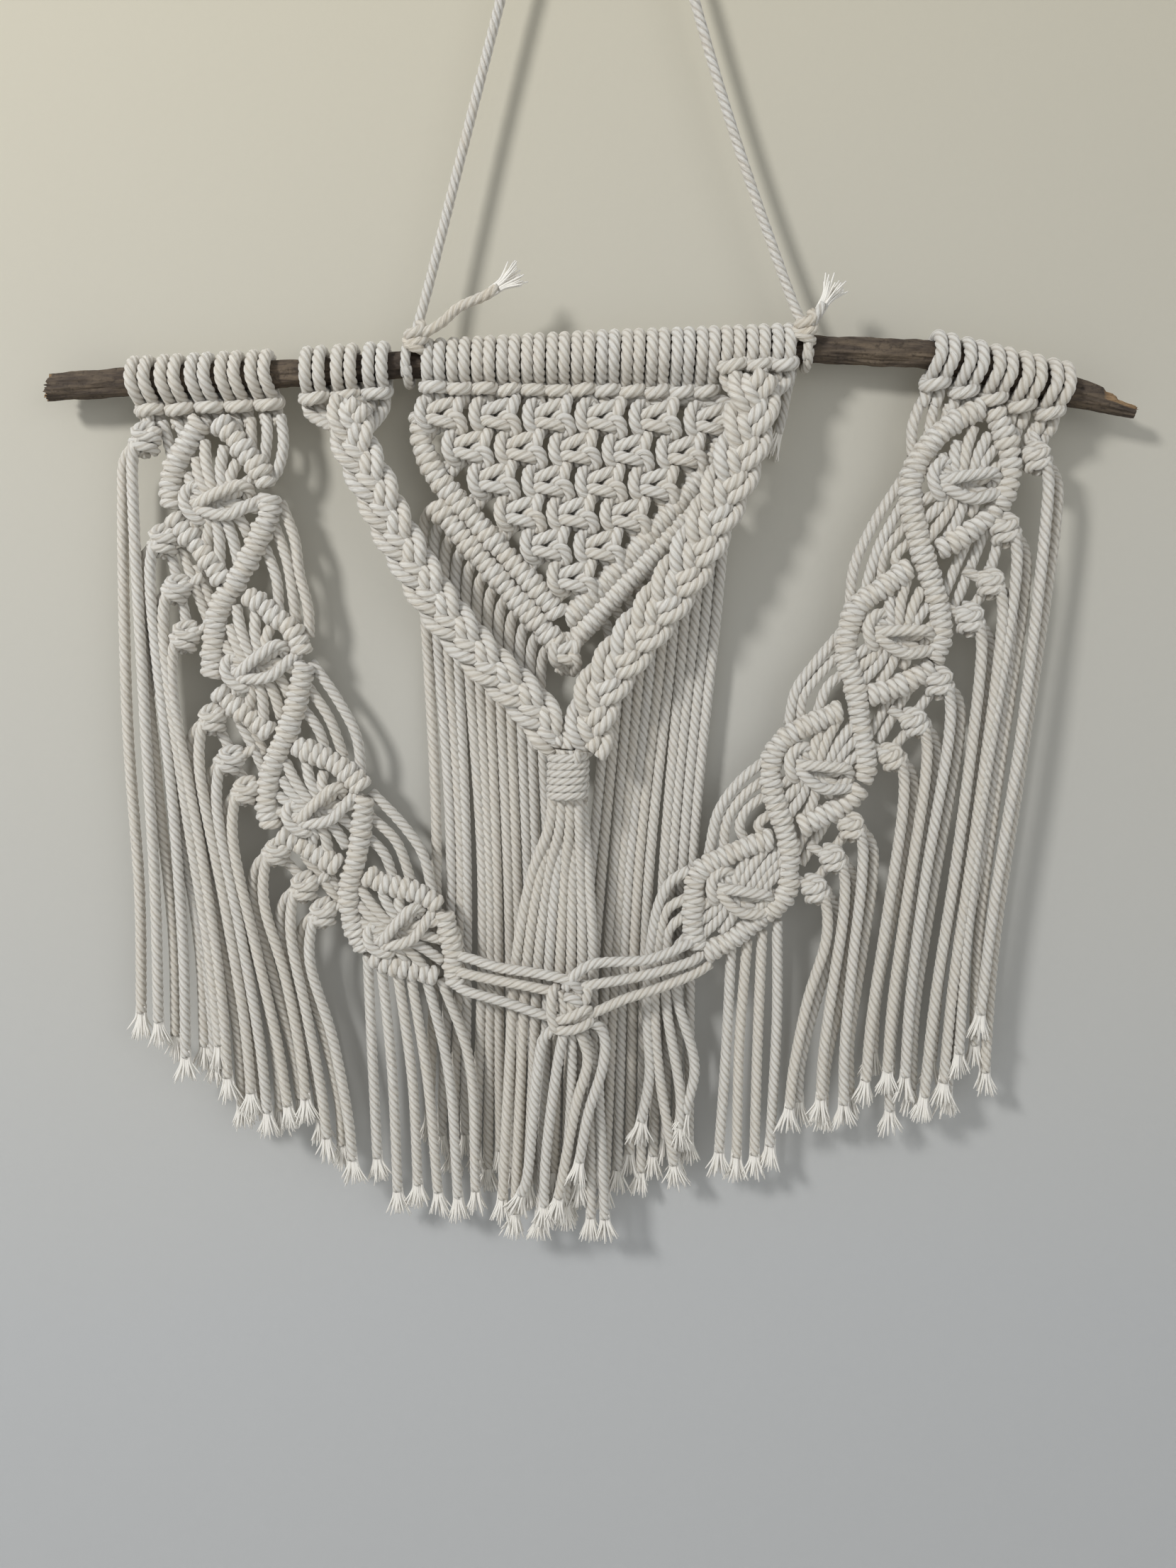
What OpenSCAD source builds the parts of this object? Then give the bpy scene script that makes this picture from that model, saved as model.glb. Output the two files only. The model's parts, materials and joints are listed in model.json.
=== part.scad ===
// Knotted cotton wall hanging on a driftwood stick, hung from a cord loop.
// Origin: the point where the hanging cord bends over its nail.
// +Z is up, +X runs along the stick, and the front faces -Y.

/* [Cord] */
// Diameter of the three-ply cotton cord
cord_d = 4; // [3.6:0.1:4]
// Diameter of the thinner cord that hangs the piece
hanger_d = 3.4; // [3:0.1:3.6]

/* [Stick] */
// Play between the stick and the cord wound round it
wrap_gap = 0.15; // [0.1:0.05:0.2]
// Play between the stick and the hanging cord's rings, in which it turns
ring_gap = 0.35; // [0.3:0.05:0.4]

/* [Knots] */
// Width of a square knot in the net
net_knot_w = 15; // [13:0.5:16]
// Height of a square knot in the net
net_knot_h = 9; // [8:0.5:10]
// Thickness of a square knot in the net
net_knot_t = 5.6; // [5:0.2:6]
// Width of a ridge of half hitches
ridge_w = 6.4; // [5.6:0.2:7]
// Thickness of a ridge of half hitches
ridge_t = 5.2; // [4.8:0.2:5.6]
// Width of the square knot in a side diamond
diamond_knot_w = 18; // [16:0.5:20]
// Thickness of the square knot in a side diamond
diamond_knot_t = 6; // [5:0.5:6.5]

/* [Braids] */
// Width of a braid
braid_w = 15; // [13:0.5:16]
// Thickness of a braid
braid_t = 7; // [6:0.5:7.5]
// Diameter of the binding that gathers both braids
binding_d = 14.5; // [13:0.5:15]
// Height of the binding
binding_h = 16; // [14:0.5:17]

/* [Hidden] */

// Depths of the layers, from the wall to the front
fringe_y = 4.4;
net_y = -1;
back_strand_y = -2.2;
strip_y = -4;
front_strand_y = -6.2;
tassel_y = -6.4;
braid_y = -10.2;
joining_y = -13;

// Stick: x along it, then the height of its axis, then its radius
stick_x = [-188, -148, -108, -64, 7, 79, 122, 173, 189, 196];
stick_z = [[-188, -232], [-148, -229], [-108, -226], [-64, -222], [7, -217],
    [79, -213], [122, -214], [173, -225], [189, -229], [196, -231]];
stick_r = [[-188, 4.6], [-148, 4.7], [-108, 4.6], [-64, 4.5], [7, 4.5],
    [79, 4.6], [122, 4.7], [173, 5.1], [189, 3.8], [196, 2.2]];

// Lark's heads: first knot, number of knots, step, half the gap between wraps, lie of the bar
heads_left = [-155, 5, 10.5, 2.6, 85];
heads_left_braid = [-94, 3, 11, 2.7, 68];
heads_centre = [-51.7, 12, 8.7, 2.18, 75];
heads_right_braid = [52.6, 3, 8.8, 2.18, 35];
heads_right = [127, 5, 10.2, 2.5, 65];

// Hanging cord
ring_left_x = -61.3;
ring_right_x = 78.5;
hanger_route = [[-58, -6.6, -213], [-55.5, -3.6, -203], [-43, -1, -154], [-27, 0, -93],
    [-13, 0, -41], [-5, 0, -12], [-1.8, 0, -2.6], [0, 0, -0.8], [1.8, 0, -2.6],
    [6, 0, -16], [23, 0, -67], [48, -1, -138], [66, -2, -182], [74.5, -4, -202], [77, -6, -207]];
tail_left = [[-54, -7.5, -214], [-48, -8, -209], [-43, -8, -205], [-33, -8, -200], [-26, -8, -196]];
tail_right = [[79, -7, -207], [81.5, -7, -202], [83, -7, -198]];
tail_back = [[74.5, 8.5, -221], [74, 9, -230], [72, 8.5, -240], [71, 8, -246]];

// Net of alternating square knots
net_top_z = -240;
net_row_step = 11.3;
net_column_step = 18.8;
net_middle_x = -1;
ridge_left_inner = [[-56, net_y, -243], [-55, net_y, -251], [-51, net_y, -259], [-43, net_y, -268],
    [-33, net_y, -279], [-22, net_y, -292], [-11, net_y, -304], [-5.5, net_y, -309]];
ridge_right_inner = [[50, net_y, -247], [40, net_y, -259], [27, net_y, -274], [11, net_y, -291],
    [1, net_y, -303], [-2.4, net_y, -308]];
ridge_left_outer = [[-53, net_y, -269], [-49, net_y, -275], [-38, net_y, -287], [-25, net_y, -302],
    [-13, net_y, -315], [-8, net_y, -320]];
ridge_right_outer = [[45, net_y, -267], [41, net_y, -272], [29, net_y, -286], [17, net_y, -300],
    [5, net_y, -313], [1, net_y, -318]];
bottom_knot_at = [-3.5, net_y, -322];

// Braids
braid_left_route = [[-79, braid_y, -240], [-79.5, braid_y, -248], [-73, braid_y, -262],
    [-66, braid_y, -277], [-58, braid_y, -291], [-50, braid_y, -304], [-41, braid_y, -315],
    [-32, braid_y, -325], [-24, braid_y, -332], [-15, braid_y, -341], [-9, braid_y, -349],
    [-8, braid_y, -355.4]];
braid_right_route = [[60, braid_y, -228], [60, braid_y, -237], [57, braid_y, -249],
    [53, braid_y, -260], [48, braid_y, -271], [43, braid_y, -282], [37, braid_y, -293],
    [30, braid_y, -304], [22, braid_y, -315], [15, braid_y, -325], [9, braid_y, -334],
    [6.2, braid_y, -345], [5.6, braid_y, -355.4]];
binding_at = [-1.6, braid_y, -365];
tassel_ends = [[-24, -546], [-19, -552], [-14, -540], [-9, -553], [-4, -534], [1, -548],
    [6, -538], [11, -553]];

// Side strips: the corners of each diamond are top, left, bottom, right
left_diamonds = [
    [[-131, -246.6], [-147, -270], [-126, -295], [-110, -270]],
    [[-125, -304], [-134.5, -328], [-108, -353], [-98.5, -327]],
    [[-108, -361.5], [-114.5, -375], [-87, -401], [-75, -377]],
    [[-84, -409.5], [-89, -421], [-49, -447], [-45, -421]]];
right_diamonds = [
    [[139, -236.4], [118.5, -256], [128, -282], [154, -256]],
    [[122.5, -291], [99.5, -313], [108, -338], [135.5, -312]],
    [[100, -346.5], [74, -364], [82, -388], [113, -361]],
    [[76, -396.5], [44.5, -410], [50, -436], [81, -409]]];
left_knots = [[-128.5, -270], [-116, -328], [-94, -379], [-65, -426]];
right_knots = [[136, -257], [116, -313], [93, -364], [62, -411]];
left_arcs = [
    [[-107, -272], [-98.5, -283], [-95, -297], [-96, -312], [-98, -324]],
    [[-95.5, -329], [-87, -338], [-81, -350], [-77, -363], [-75.5, -373.5]],
    [[-71, -379], [-60, -385], [-53, -395], [-48, -407], [-45.5, -417.5]]];
right_arcs = [
    [[116, -259], [109, -268], [104, -280], [101, -295], [99.5, -309]],
    [[97, -316], [88, -323], [81, -334], [76, -347], [74, -360]],
    [[71.5, -367], [62, -371], [53, -380], [47, -394], [44.5, -406]]];
left_outer = [[-153, -253], [-149, -281], [-144, -299], [-142, -318], [-131.5, -351],
    [-126, -363], [-119.5, -377], [-109, -398], [-100, -413], [-93, -428]];
right_outer = [[161, -246], [153, -273], [149, -290], [143, -305], [131, -332],
    [125, -344], [119, -357], [106, -382], [99, -396], [90, -409]];
// Foot of the two cords under each outer knot: x and z of the back one, then of the front one
left_feet = [[-165, -473, -157, -475], [-152, -482, -147, -489], [-141, -486, -134, -484],
    [-137, -492, -131, -497], [-127, -510, -122, -503], [-121, -507, -116, -511],
    [-112, -512, -108, -508], [-104, -507, -101, -505], [-96, -516, -93, -521],
    [-88, -526, -83, -530]];
right_feet = [[165, -488, 158, -464], [158, -478, 151, -480], [149, -498, 146, -492],
    [142, -485, 139, -498], [135, -497, 131, -490], [127, -506, 124, -488],
    [119, -482, 116, -492], [111, -499, 108, -502], [101, -505, 99, -500], [91, -503, 87, -504]];
left_bottom_feet = [[-74, -530], [-66, -544], [-58, -541], [-50, -544], [-42, -546], [-35, -543]];
left_bottom_tops = [[-74, -441], [-69, -443], [-64, -445], [-59, -447], [-54, -449], [-49, -451]];
right_bottom_feet = [[81, -521], [75, -525], [68, -526], [61, -524]];
right_bottom_tops = [[66, -433], [61, -435], [56, -437], [51, -439]];

// Cords that join the strips
joining_knot_at = [1, joining_y, -453];
joining_left = [
    [[-42, -4.6, -446], [-33, -9, -446.5], [-20, joining_y, -447.5], [-6.2, joining_y, -449]],
    [[-43, -4.6, -451], [-32, -9, -451.5], [-20, joining_y, -452.2], [-6.2, joining_y, -453.3]],
    [[-45, -4.6, -456], [-33, -9, -456.5], [-20, joining_y, -457], [-6.2, joining_y, -457.6]]];
joining_right = [
    [[47, -4.6, -434], [38, -9, -440], [24, joining_y, -445.5], [8.2, joining_y, -449]],
    [[49, -4.6, -439], [40, -9, -445], [25, joining_y, -450], [8.2, joining_y, -453.3]],
    [[52, -4.6, -444], [42, -9, -450.5], [26, joining_y, -455], [8.2, joining_y, -457.6]]];
joining_fringe_routes = [
    [[-4, -461], [-7, -490], [-9, -520], [-8, -529]],
    [[0, -461], [-1, -495], [-2, -530], [-3, -545]],
    [[4, -461], [9, -480], [8, -510], [6, -529]],
    [[7, -461], [15, -476], [15, -505], [17, -533]]];

sides = 8;
fine = 48;

function unit(v) = v / norm(v);
function heading(route, i) = unit(route[min(i + 1, len(route) - 1)] - route[max(i - 1, 0)]);
function across(t) = unit(cross(t, [0, 1, 0]));
function in_layer(flat, y) = [for (p = flat) [p[0], y, p[1]]];
function stick_slope(x) = atan((lookup(x + 4, stick_z) - lookup(x - 4, stick_z)) / 8);
function net_columns(row) = 7 - row;
function net_x(row, i) = net_middle_x + net_column_step * (i - (net_columns(row) - 1) / 2);
function net_z(row) = net_top_z - net_row_step * (row - 1);

// A run of cord, braid or ridge swept along its route
module run(route, w, h) {
    n = len(route);
    points = [for (i = [0 : n - 1])
        let (t = heading(route, i), u = across(t), v = cross(u, t))
        for (k = [0 : sides - 1])
            let (a = 360 * (k + 0.5) / sides)
            route[i] + w / 2 * cos(a) * u + h / 2 * sin(a) * v];
    skin = [for (i = [0 : n - 2], k = [0 : sides - 1])
        let (j = (k + 1) % sides)
        [i * sides + j, (i + 1) * sides + j, (i + 1) * sides + k, i * sides + k]];
    top = [for (k = [sides - 1 : -1 : 0]) k];
    foot = [for (k = [0 : sides - 1]) (n - 1) * sides + k];
    polyhedron(points, concat([top, foot], skin));
}

// A rounded lump of knotted cord, upright
module lump(at, w, t, h) {
    steps = [[0.5, 0.6], [0.36, 0.94], [0, 1], [-0.36, 0.94], [-0.5, 0.6]];
    n = len(steps);
    points = [for (s = steps, k = [0 : sides - 1])
        let (a = 360 * (k + 0.5) / sides)
        at + [w / 2 * s[1] * cos(a), t / 2 * s[1] * sin(a), h * s[0]]];
    skin = [for (i = [0 : n - 2], k = [0 : sides - 1])
        let (j = (k + 1) % sides)
        [i * sides + k, i * sides + j, (i + 1) * sides + j, (i + 1) * sides + k]];
    top = [for (k = [sides - 1 : -1 : 0]) k];
    foot = [for (k = [0 : sides - 1]) (n - 1) * sides + k];
    polyhedron(points, concat([top, foot], skin));
}

// One turn of cord round the stick, across the given slope
module turn(x, d, gap, slope) {
    translate([x, 0, lookup(x, stick_z)])
        rotate([0, 90 - slope, 0])
            rotate_extrude($fn = fine)
                translate([lookup(x, stick_r) + gap + d / 2, 0])
                    circle(d = d, $fn = fine);
}

// A row of lark's heads: two turns over the stick and a bar in front of them
module larks_heads(group) {
    first = group[0];
    half = group[3];
    for (i = [0 : group[1] - 1]) {
        x = first + i * group[2];
        reach = lookup(x, stick_r) + wrap_gap + 1.5 * cord_d + 0.1;
        turn(x - half, cord_d, wrap_gap, stick_slope(x - half));
        turn(x + half, cord_d, wrap_gap, stick_slope(x + half));
        translate([x, -reach * cos(group[4]), lookup(x, stick_z) - reach * sin(group[4])])
            rotate([0, 90 - stick_slope(x), 0])
                cylinder(d = cord_d, h = 2 * half + cord_d - 0.4, center = true, $fn = fine);
    }
}

module hanger_cord() {
    color("wheat") run(hanger_route, hanger_d, hanger_d);
}

// Both rings share one axis, about which the stick swings in them
module hanger_rings() {
    rise = lookup(ring_right_x, stick_z) - lookup(ring_left_x, stick_z);
    slope = atan(rise / (ring_right_x - ring_left_x));
    color("wheat") {
        turn(ring_left_x, hanger_d, ring_gap, slope);
        turn(ring_right_x, hanger_d, ring_gap, slope);
    }
}

module hanger_knot_left() {
    color("wheat") {
        lump([-59.3, -8, -213], 6.8, 5.4, 8);
        run(tail_left, hanger_d, hanger_d);
    }
}

module hanger_knot_right() {
    color("wheat") {
        lump([78.8, -7.2, -207], 8, 5.4, 10);
        run(tail_right, hanger_d, hanger_d);
        run(tail_back, hanger_d, hanger_d);
    }
}

module driftwood_stick() {
    count = len(stick_x);
    around = 14;
    points = [for (i = [0 : count - 1], k = [0 : around - 1])
        let (x = stick_x[i], a = 360 * k / around, r = lookup(x, stick_r))
        [x, r * cos(a), lookup(x, stick_z) + r * sin(a)]];
    skin = [for (i = [0 : count - 2], k = [0 : around - 1])
        let (j = (k + 1) % around)
        [i * around + k, i * around + j, (i + 1) * around + j, (i + 1) * around + k]];
    left_end = [for (k = [around - 1 : -1 : 0]) k];
    right_end = [for (k = [0 : around - 1]) (count - 1) * around + k];
    color("dimgray") polyhedron(points, concat([left_end, right_end], skin));
}

module larks_heads_left() {
    color("ivory") larks_heads(heads_left);
}

module larks_heads_left_braid() {
    color("ivory") larks_heads(heads_left_braid);
}

module larks_heads_centre() {
    color("ivory") larks_heads(heads_centre);
}

module larks_heads_right_braid() {
    color("ivory") larks_heads(heads_right_braid);
}

module larks_heads_right() {
    color("ivory") larks_heads(heads_right);
}

// One row of the net, with the cords that come down to it
module net_row(row) {
    drop = row == 1 ? 7.4 : 6.4;
    color("ivory")
        for (i = [0 : net_columns(row) - 1]) {
            at = [net_x(row, i), net_y, net_z(row)];
            lump(at, net_knot_w, net_knot_t, net_knot_h);
            for (s = [-1, 1])
                run([at + [5.2 * s, 0, drop], at + [3.4 * s, 0, 2]], cord_d, cord_d);
        }
}

module net_row_1() {
    net_row(1);
}

module net_row_2() {
    net_row(2);
}

module net_row_3() {
    net_row(3);
}

module net_row_4() {
    net_row(4);
}

module net_row_5() {
    net_row(5);
}

module net_row_6() {
    net_row(6);
}

module net_ridge(route) {
    color("ivory") run(route, ridge_w, ridge_t);
}

module net_ridge_left_inner() {
    net_ridge(ridge_left_inner);
}

module net_ridge_left_outer() {
    net_ridge(ridge_left_outer);
}

module net_ridge_right_inner() {
    net_ridge(ridge_right_inner);
}

module net_ridge_right_outer() {
    net_ridge(ridge_right_outer);
}

module net_bottom_knot() {
    color("ivory") lump(bottom_knot_at, 11, 6, 9);
}

// Cords that leave the outer ridge of the net and hang behind everything else
module centre_fringe(side, ridge, count) {
    heights = [for (p = ridge) [p[0] * side, p[2]]];
    color("wheat")
        for (i = [0 : count - 1]) {
            x = 7 + 4 * i;
            z = lookup(x, heights);
            foot = -552 + 5 * (i % 3) + 2.2 * i;
            run([[side * x, 1.4, z], [side * (x + 3.4), fringe_y, z - 4],
                [side * (x + 4.6), fringe_y, z - 16], [side * (2.5 + 4.6 * i), fringe_y, foot]],
                cord_d - 0.4, cord_d - 0.4);
        }
}

module centre_fringe_left() {
    route = [for (i = [len(ridge_left_outer) - 1 : -1 : 0]) ridge_left_outer[i]];
    centre_fringe(-1, route, 12);
}

module centre_fringe_right() {
    route = [for (i = [len(ridge_right_outer) - 1 : -1 : 0]) ridge_right_outer[i]];
    centre_fringe(1, route, 11);
}

module braid_left() {
    color("ivory") run(braid_left_route, braid_w, braid_t);
}

module braid_right() {
    color("ivory") run(braid_right_route, braid_w, braid_t);
}

module braid_binding() {
    color("ivory") translate(binding_at) cylinder(d = binding_d, h = binding_h, center = true, $fn = fine);
}

module braid_tassel() {
    top = binding_at[2] - binding_h / 2 - 1.4;
    color("ivory")
        for (i = [0 : len(tassel_ends) - 1]) {
            x = binding_at[0] + 1.5 * (i - 3.5);
            foot = tassel_ends[i];
            run([[x, braid_y, top], [x + 0.4 * (i - 3.5), tassel_y - 1, top - 12],
                [foot[0] * 0.75 + x * 0.25, tassel_y, -430], [foot[0], tassel_y, foot[1]]],
                cord_d - 0.2, cord_d - 0.2);
        }
}

// Ridges of one diamond, and the cords that come down to it from the one above
module diamond(strip, row) {
    corners = strip[row];
    color("ivory") {
        for (i = [0 : 3]) {
            a = corners[i];
            b = corners[(i + 1) % 4];
            run([[a[0], strip_y, a[1]], [b[0], strip_y, b[1]]], ridge_w - 0.6, ridge_t);
        }
        if (row > 0) {
            above = strip[row - 1][2];
            run([[above[0], strip_y, above[1]], [corners[0][0], strip_y, corners[0][1]]], 9, ridge_t - 0.6);
        }
    }
}

// Square knot in a diamond, with the cords that run to the four ridges
module diamond_knot(centre, corners) {
    color("ivory") {
        lump([centre[0], strip_y, centre[1]], diamond_knot_w, diamond_knot_t, 9);
        for (i = [0 : 3]) {
            a = corners[i];
            b = corners[(i + 1) % 4];
            middle = (a + b) / 2;
            run([[middle[0], strip_y, middle[1]], [centre[0], strip_y, centre[1]]], 7, cord_d);
        }
    }
}

module left_diamond_1() {
    diamond(left_diamonds, 0);
}

module left_diamond_2() {
    diamond(left_diamonds, 1);
}

module left_diamond_3() {
    diamond(left_diamonds, 2);
}

module left_diamond_4() {
    diamond(left_diamonds, 3);
}

module right_diamond_1() {
    diamond(right_diamonds, 0);
}

module right_diamond_2() {
    diamond(right_diamonds, 1);
}

module right_diamond_3() {
    diamond(right_diamonds, 2);
}

module right_diamond_4() {
    diamond(right_diamonds, 3);
}

module left_square_knot_1() {
    diamond_knot(left_knots[0], left_diamonds[0]);
}

module left_square_knot_2() {
    diamond_knot(left_knots[1], left_diamonds[1]);
}

module left_square_knot_3() {
    diamond_knot(left_knots[2], left_diamonds[2]);
}

module left_square_knot_4() {
    diamond_knot(left_knots[3], left_diamonds[3]);
}

module right_square_knot_1() {
    diamond_knot(right_knots[0], right_diamonds[0]);
}

module right_square_knot_2() {
    diamond_knot(right_knots[1], right_diamonds[1]);
}

module right_square_knot_3() {
    diamond_knot(right_knots[2], right_diamonds[2]);
}

module right_square_knot_4() {
    diamond_knot(right_knots[3], right_diamonds[3]);
}

module inner_arcs(arcs) {
    color("ivory")
        for (arc = arcs)
            run(in_layer(arc, strip_y), 10, cord_d);
}

module left_inner_arcs() {
    inner_arcs(left_arcs);
}

module right_inner_arcs() {
    inner_arcs(right_arcs);
}

module outer_knots(places) {
    color("ivory")
        for (p = places)
            lump([p[0], strip_y, p[1]], 8.4, 7.4, 7);
}

module left_outer_knots() {
    outer_knots(left_outer);
}

module right_outer_knots() {
    outer_knots(right_outer);
}

// Two cords hang from each outer knot, one behind the other
module side_fringe(places, feet) {
    color("ivory")
        for (i = [0 : len(places) - 1]) {
            p = places[i];
            foot = feet[i];
            for (s = [0, 1]) {
                y = s == 0 ? back_strand_y : front_strand_y;
                end = [foot[2 * s], y, foot[2 * s + 1]];
                top = [p[0], y, p[1] - 2.4];
                run([top, [top[0] * 0.6 + end[0] * 0.4, y, (top[2] + end[2]) / 2], end],
                    cord_d - 0.4, cord_d - 0.4);
            }
        }
}

module left_fringe() {
    side_fringe(left_outer, left_feet);
}

module right_fringe() {
    side_fringe(right_outer, right_feet);
}

module bottom_fringe(tops, feet) {
    color("ivory")
        for (i = [0 : len(tops) - 1]) {
            top = tops[i];
            foot = feet[i];
            run([[top[0], back_strand_y, top[1]],
                [foot[0] * 0.7 + top[0] * 0.3, back_strand_y, (top[1] + foot[1]) / 2],
                [foot[0], back_strand_y, foot[1]]], cord_d - 0.4, cord_d - 0.4);
        }
}

module left_bottom_fringe() {
    bottom_fringe(left_bottom_tops, left_bottom_feet);
}

module right_bottom_fringe() {
    bottom_fringe(right_bottom_tops, right_bottom_feet);
}

module joining_cords(routes) {
    color("ivory")
        for (route = routes)
            run(route, cord_d, cord_d);
}

module joining_cords_left() {
    joining_cords(joining_left);
}

module joining_cords_right() {
    joining_cords(joining_right);
}

module joining_knot() {
    color("ivory") lump(joining_knot_at, 14, 7.6, 16);
}

module joining_fringe() {
    color("ivory")
        for (route = joining_fringe_routes)
            run(in_layer(route, joining_y), cord_d - 0.2, cord_d - 0.2);
}

hanger_cord();
hanger_rings();
hanger_knot_left();
hanger_knot_right();
driftwood_stick();
larks_heads_left();
larks_heads_left_braid();
larks_heads_centre();
larks_heads_right_braid();
larks_heads_right();
net_row_1();
net_row_2();
net_row_3();
net_row_4();
net_row_5();
net_row_6();
net_ridge_left_inner();
net_ridge_left_outer();
net_ridge_right_inner();
net_ridge_right_outer();
net_bottom_knot();
centre_fringe_left();
centre_fringe_right();
braid_left();
braid_right();
braid_binding();
braid_tassel();
left_diamond_1();
left_diamond_2();
left_diamond_3();
left_diamond_4();
left_square_knot_1();
left_square_knot_2();
left_square_knot_3();
left_square_knot_4();
left_inner_arcs();
left_outer_knots();
left_fringe();
left_bottom_fringe();
right_diamond_1();
right_diamond_2();
right_diamond_3();
right_diamond_4();
right_square_knot_1();
right_square_knot_2();
right_square_knot_3();
right_square_knot_4();
right_inner_arcs();
right_outer_knots();
right_fringe();
right_bottom_fringe();
joining_cords_left();
joining_cords_right();
joining_knot();
joining_fringe();
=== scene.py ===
"""A knotted cotton wall hanging on a driftwood stick: its cords, knots, stick, light and camera."""

import json
import math
import random

import bpy
import numpy as np
from mathutils import Matrix, Vector, noise


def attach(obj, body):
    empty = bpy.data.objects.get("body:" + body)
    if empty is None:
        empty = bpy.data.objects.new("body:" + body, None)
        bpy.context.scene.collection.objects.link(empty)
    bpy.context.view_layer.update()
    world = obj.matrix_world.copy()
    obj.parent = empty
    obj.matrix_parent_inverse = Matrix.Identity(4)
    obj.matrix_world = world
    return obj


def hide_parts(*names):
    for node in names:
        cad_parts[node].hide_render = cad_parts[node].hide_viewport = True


bl_info = {
    "name": "Knotted wall hanging",
    "version": (1, 0, 0),
    "blender": (4, 5, 0),
    "location": "View3D > Sidebar > Hanging",
    "description": "Ties a cotton wall hanging on a driftwood stick",
    "category": "Object",
}

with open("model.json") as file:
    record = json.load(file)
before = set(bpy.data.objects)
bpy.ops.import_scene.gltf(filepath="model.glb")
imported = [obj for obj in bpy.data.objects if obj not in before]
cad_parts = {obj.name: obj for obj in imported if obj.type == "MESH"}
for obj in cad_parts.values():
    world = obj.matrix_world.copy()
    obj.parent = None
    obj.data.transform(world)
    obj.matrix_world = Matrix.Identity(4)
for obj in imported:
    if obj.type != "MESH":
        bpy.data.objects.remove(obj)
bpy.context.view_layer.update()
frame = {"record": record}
MM = 0.001

# Depths of the layers in millimetres, from the wall to the front
FRINGE_Y = 4.4
NET_Y = -1
BACK_STRAND_Y = -2.2
STRIP_Y = -4
FRONT_STRAND_Y = -6.2
TASSEL_Y = -6.4
BRAID_Y = -10.2
JOINING_Y = -13
WALL_Y = 11

# Stick: x along it, the height of its axis, and its radius
STICK_X = [-188, -148, -108, -64, 7, 79, 122, 173, 189, 196]
STICK_Z = [-232, -229, -226, -222, -217, -213, -214, -225, -229, -231]
STICK_R = [4.6, 4.7, 4.6, 4.5, 4.5, 4.6, 4.7, 5.1, 4.1, 3.1]

# Net of alternating square knots
NET_TOP_Z = -238.4
NET_ROW_STEP = 11.15
NET_COLUMN_STEP = 18.9
NET_MIDDLE_X = -2.2


# ---------------------------------------------------------------- settings


class HangingSettings(bpy.types.PropertyGroup):
    """Sizes and colours of the hanging that a user would change."""

    hanger_diameter: bpy.props.FloatProperty(
        name="Hanging cord diameter", description="Thickness of the cord that hangs it", default=0.0034,
        unit="LENGTH",
    )
    lay_length: bpy.props.FloatProperty(
        name="Lay length", description="Length of cord in which its plies turn once", default=0.012,
        unit="LENGTH",
    )
    cotton: bpy.props.FloatVectorProperty(
        name="Cotton", description="Colour of the cotton on the crown of a ply", subtype="COLOR",
        default=(0.79, 0.76, 0.70),
    )
    # Painted shade: this darker colour between two plies stands in for the shade in the groove.
    cotton_groove_shade: bpy.props.FloatVectorProperty(
        name="Cotton, deep", description="Colour of the cotton between two plies", subtype="COLOR",
        default=(0.51, 0.455, 0.375),
    )
    bark: bpy.props.FloatVectorProperty(
        name="Bark", description="Colour of the stick's weathered bark", subtype="COLOR",
        default=(0.060, 0.046, 0.036),
    )
    bark_light: bpy.props.FloatVectorProperty(
        name="Bark, worn", description="Colour of the bark where it is rubbed", subtype="COLOR",
        default=(0.155, 0.118, 0.082),
    )
    wood: bpy.props.FloatVectorProperty(
        name="Broken wood", description="Colour of the bare wood at the stick's ends", subtype="COLOR",
        default=(0.33, 0.22, 0.12),
    )
    # The wall's two colours paint a cast of light: warm on the upper part, cooler on the lower part.
    wall: bpy.props.FloatVectorProperty(
        name="Wall", description="Colour of the backdrop's upper part", subtype="COLOR",
        default=(0.52, 0.48, 0.375),
    )
    wall_low_light_cast: bpy.props.FloatVectorProperty(
        name="Wall, low", description="Colour of the backdrop's lower part", subtype="COLOR",
        default=(0.46, 0.465, 0.465),
    )
    floor: bpy.props.FloatVectorProperty(
        name="Floor", description="Colour of the floor", subtype="COLOR", default=(0.68, 0.67, 0.65)
    )
    lens: bpy.props.FloatProperty(
        name="Lens", description="Focal length of the camera in millimetres", default=27.05
    )
    key_power: bpy.props.FloatProperty(
        name="Key light", description="Power of the large soft light", default=11.5, unit="POWER"
    )


def settings():
    return bpy.context.scene.hanging


# ---------------------------------------------------------------- materials


class Wire:
    """A node's output, with the arithmetic that adds Math nodes."""

    def __init__(self, shade, socket):
        self.shade = shade
        self.socket = socket

    def _math(self, operation, first, second):
        return self.shade.node("ShaderNodeMath", {"operation": operation}, {0: first, 1: second})

    def __add__(self, other):
        return self._math("ADD", self, other)

    def __radd__(self, other):
        return self._math("ADD", other, self)

    def __sub__(self, other):
        return self._math("SUBTRACT", self, other)

    def __rsub__(self, other):
        return self._math("SUBTRACT", other, self)

    def __mul__(self, other):
        return self._math("MULTIPLY", self, other)

    def __rmul__(self, other):
        return self._math("MULTIPLY", other, self)

    def __pow__(self, other):
        return self._math("POWER", self, other)


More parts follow.
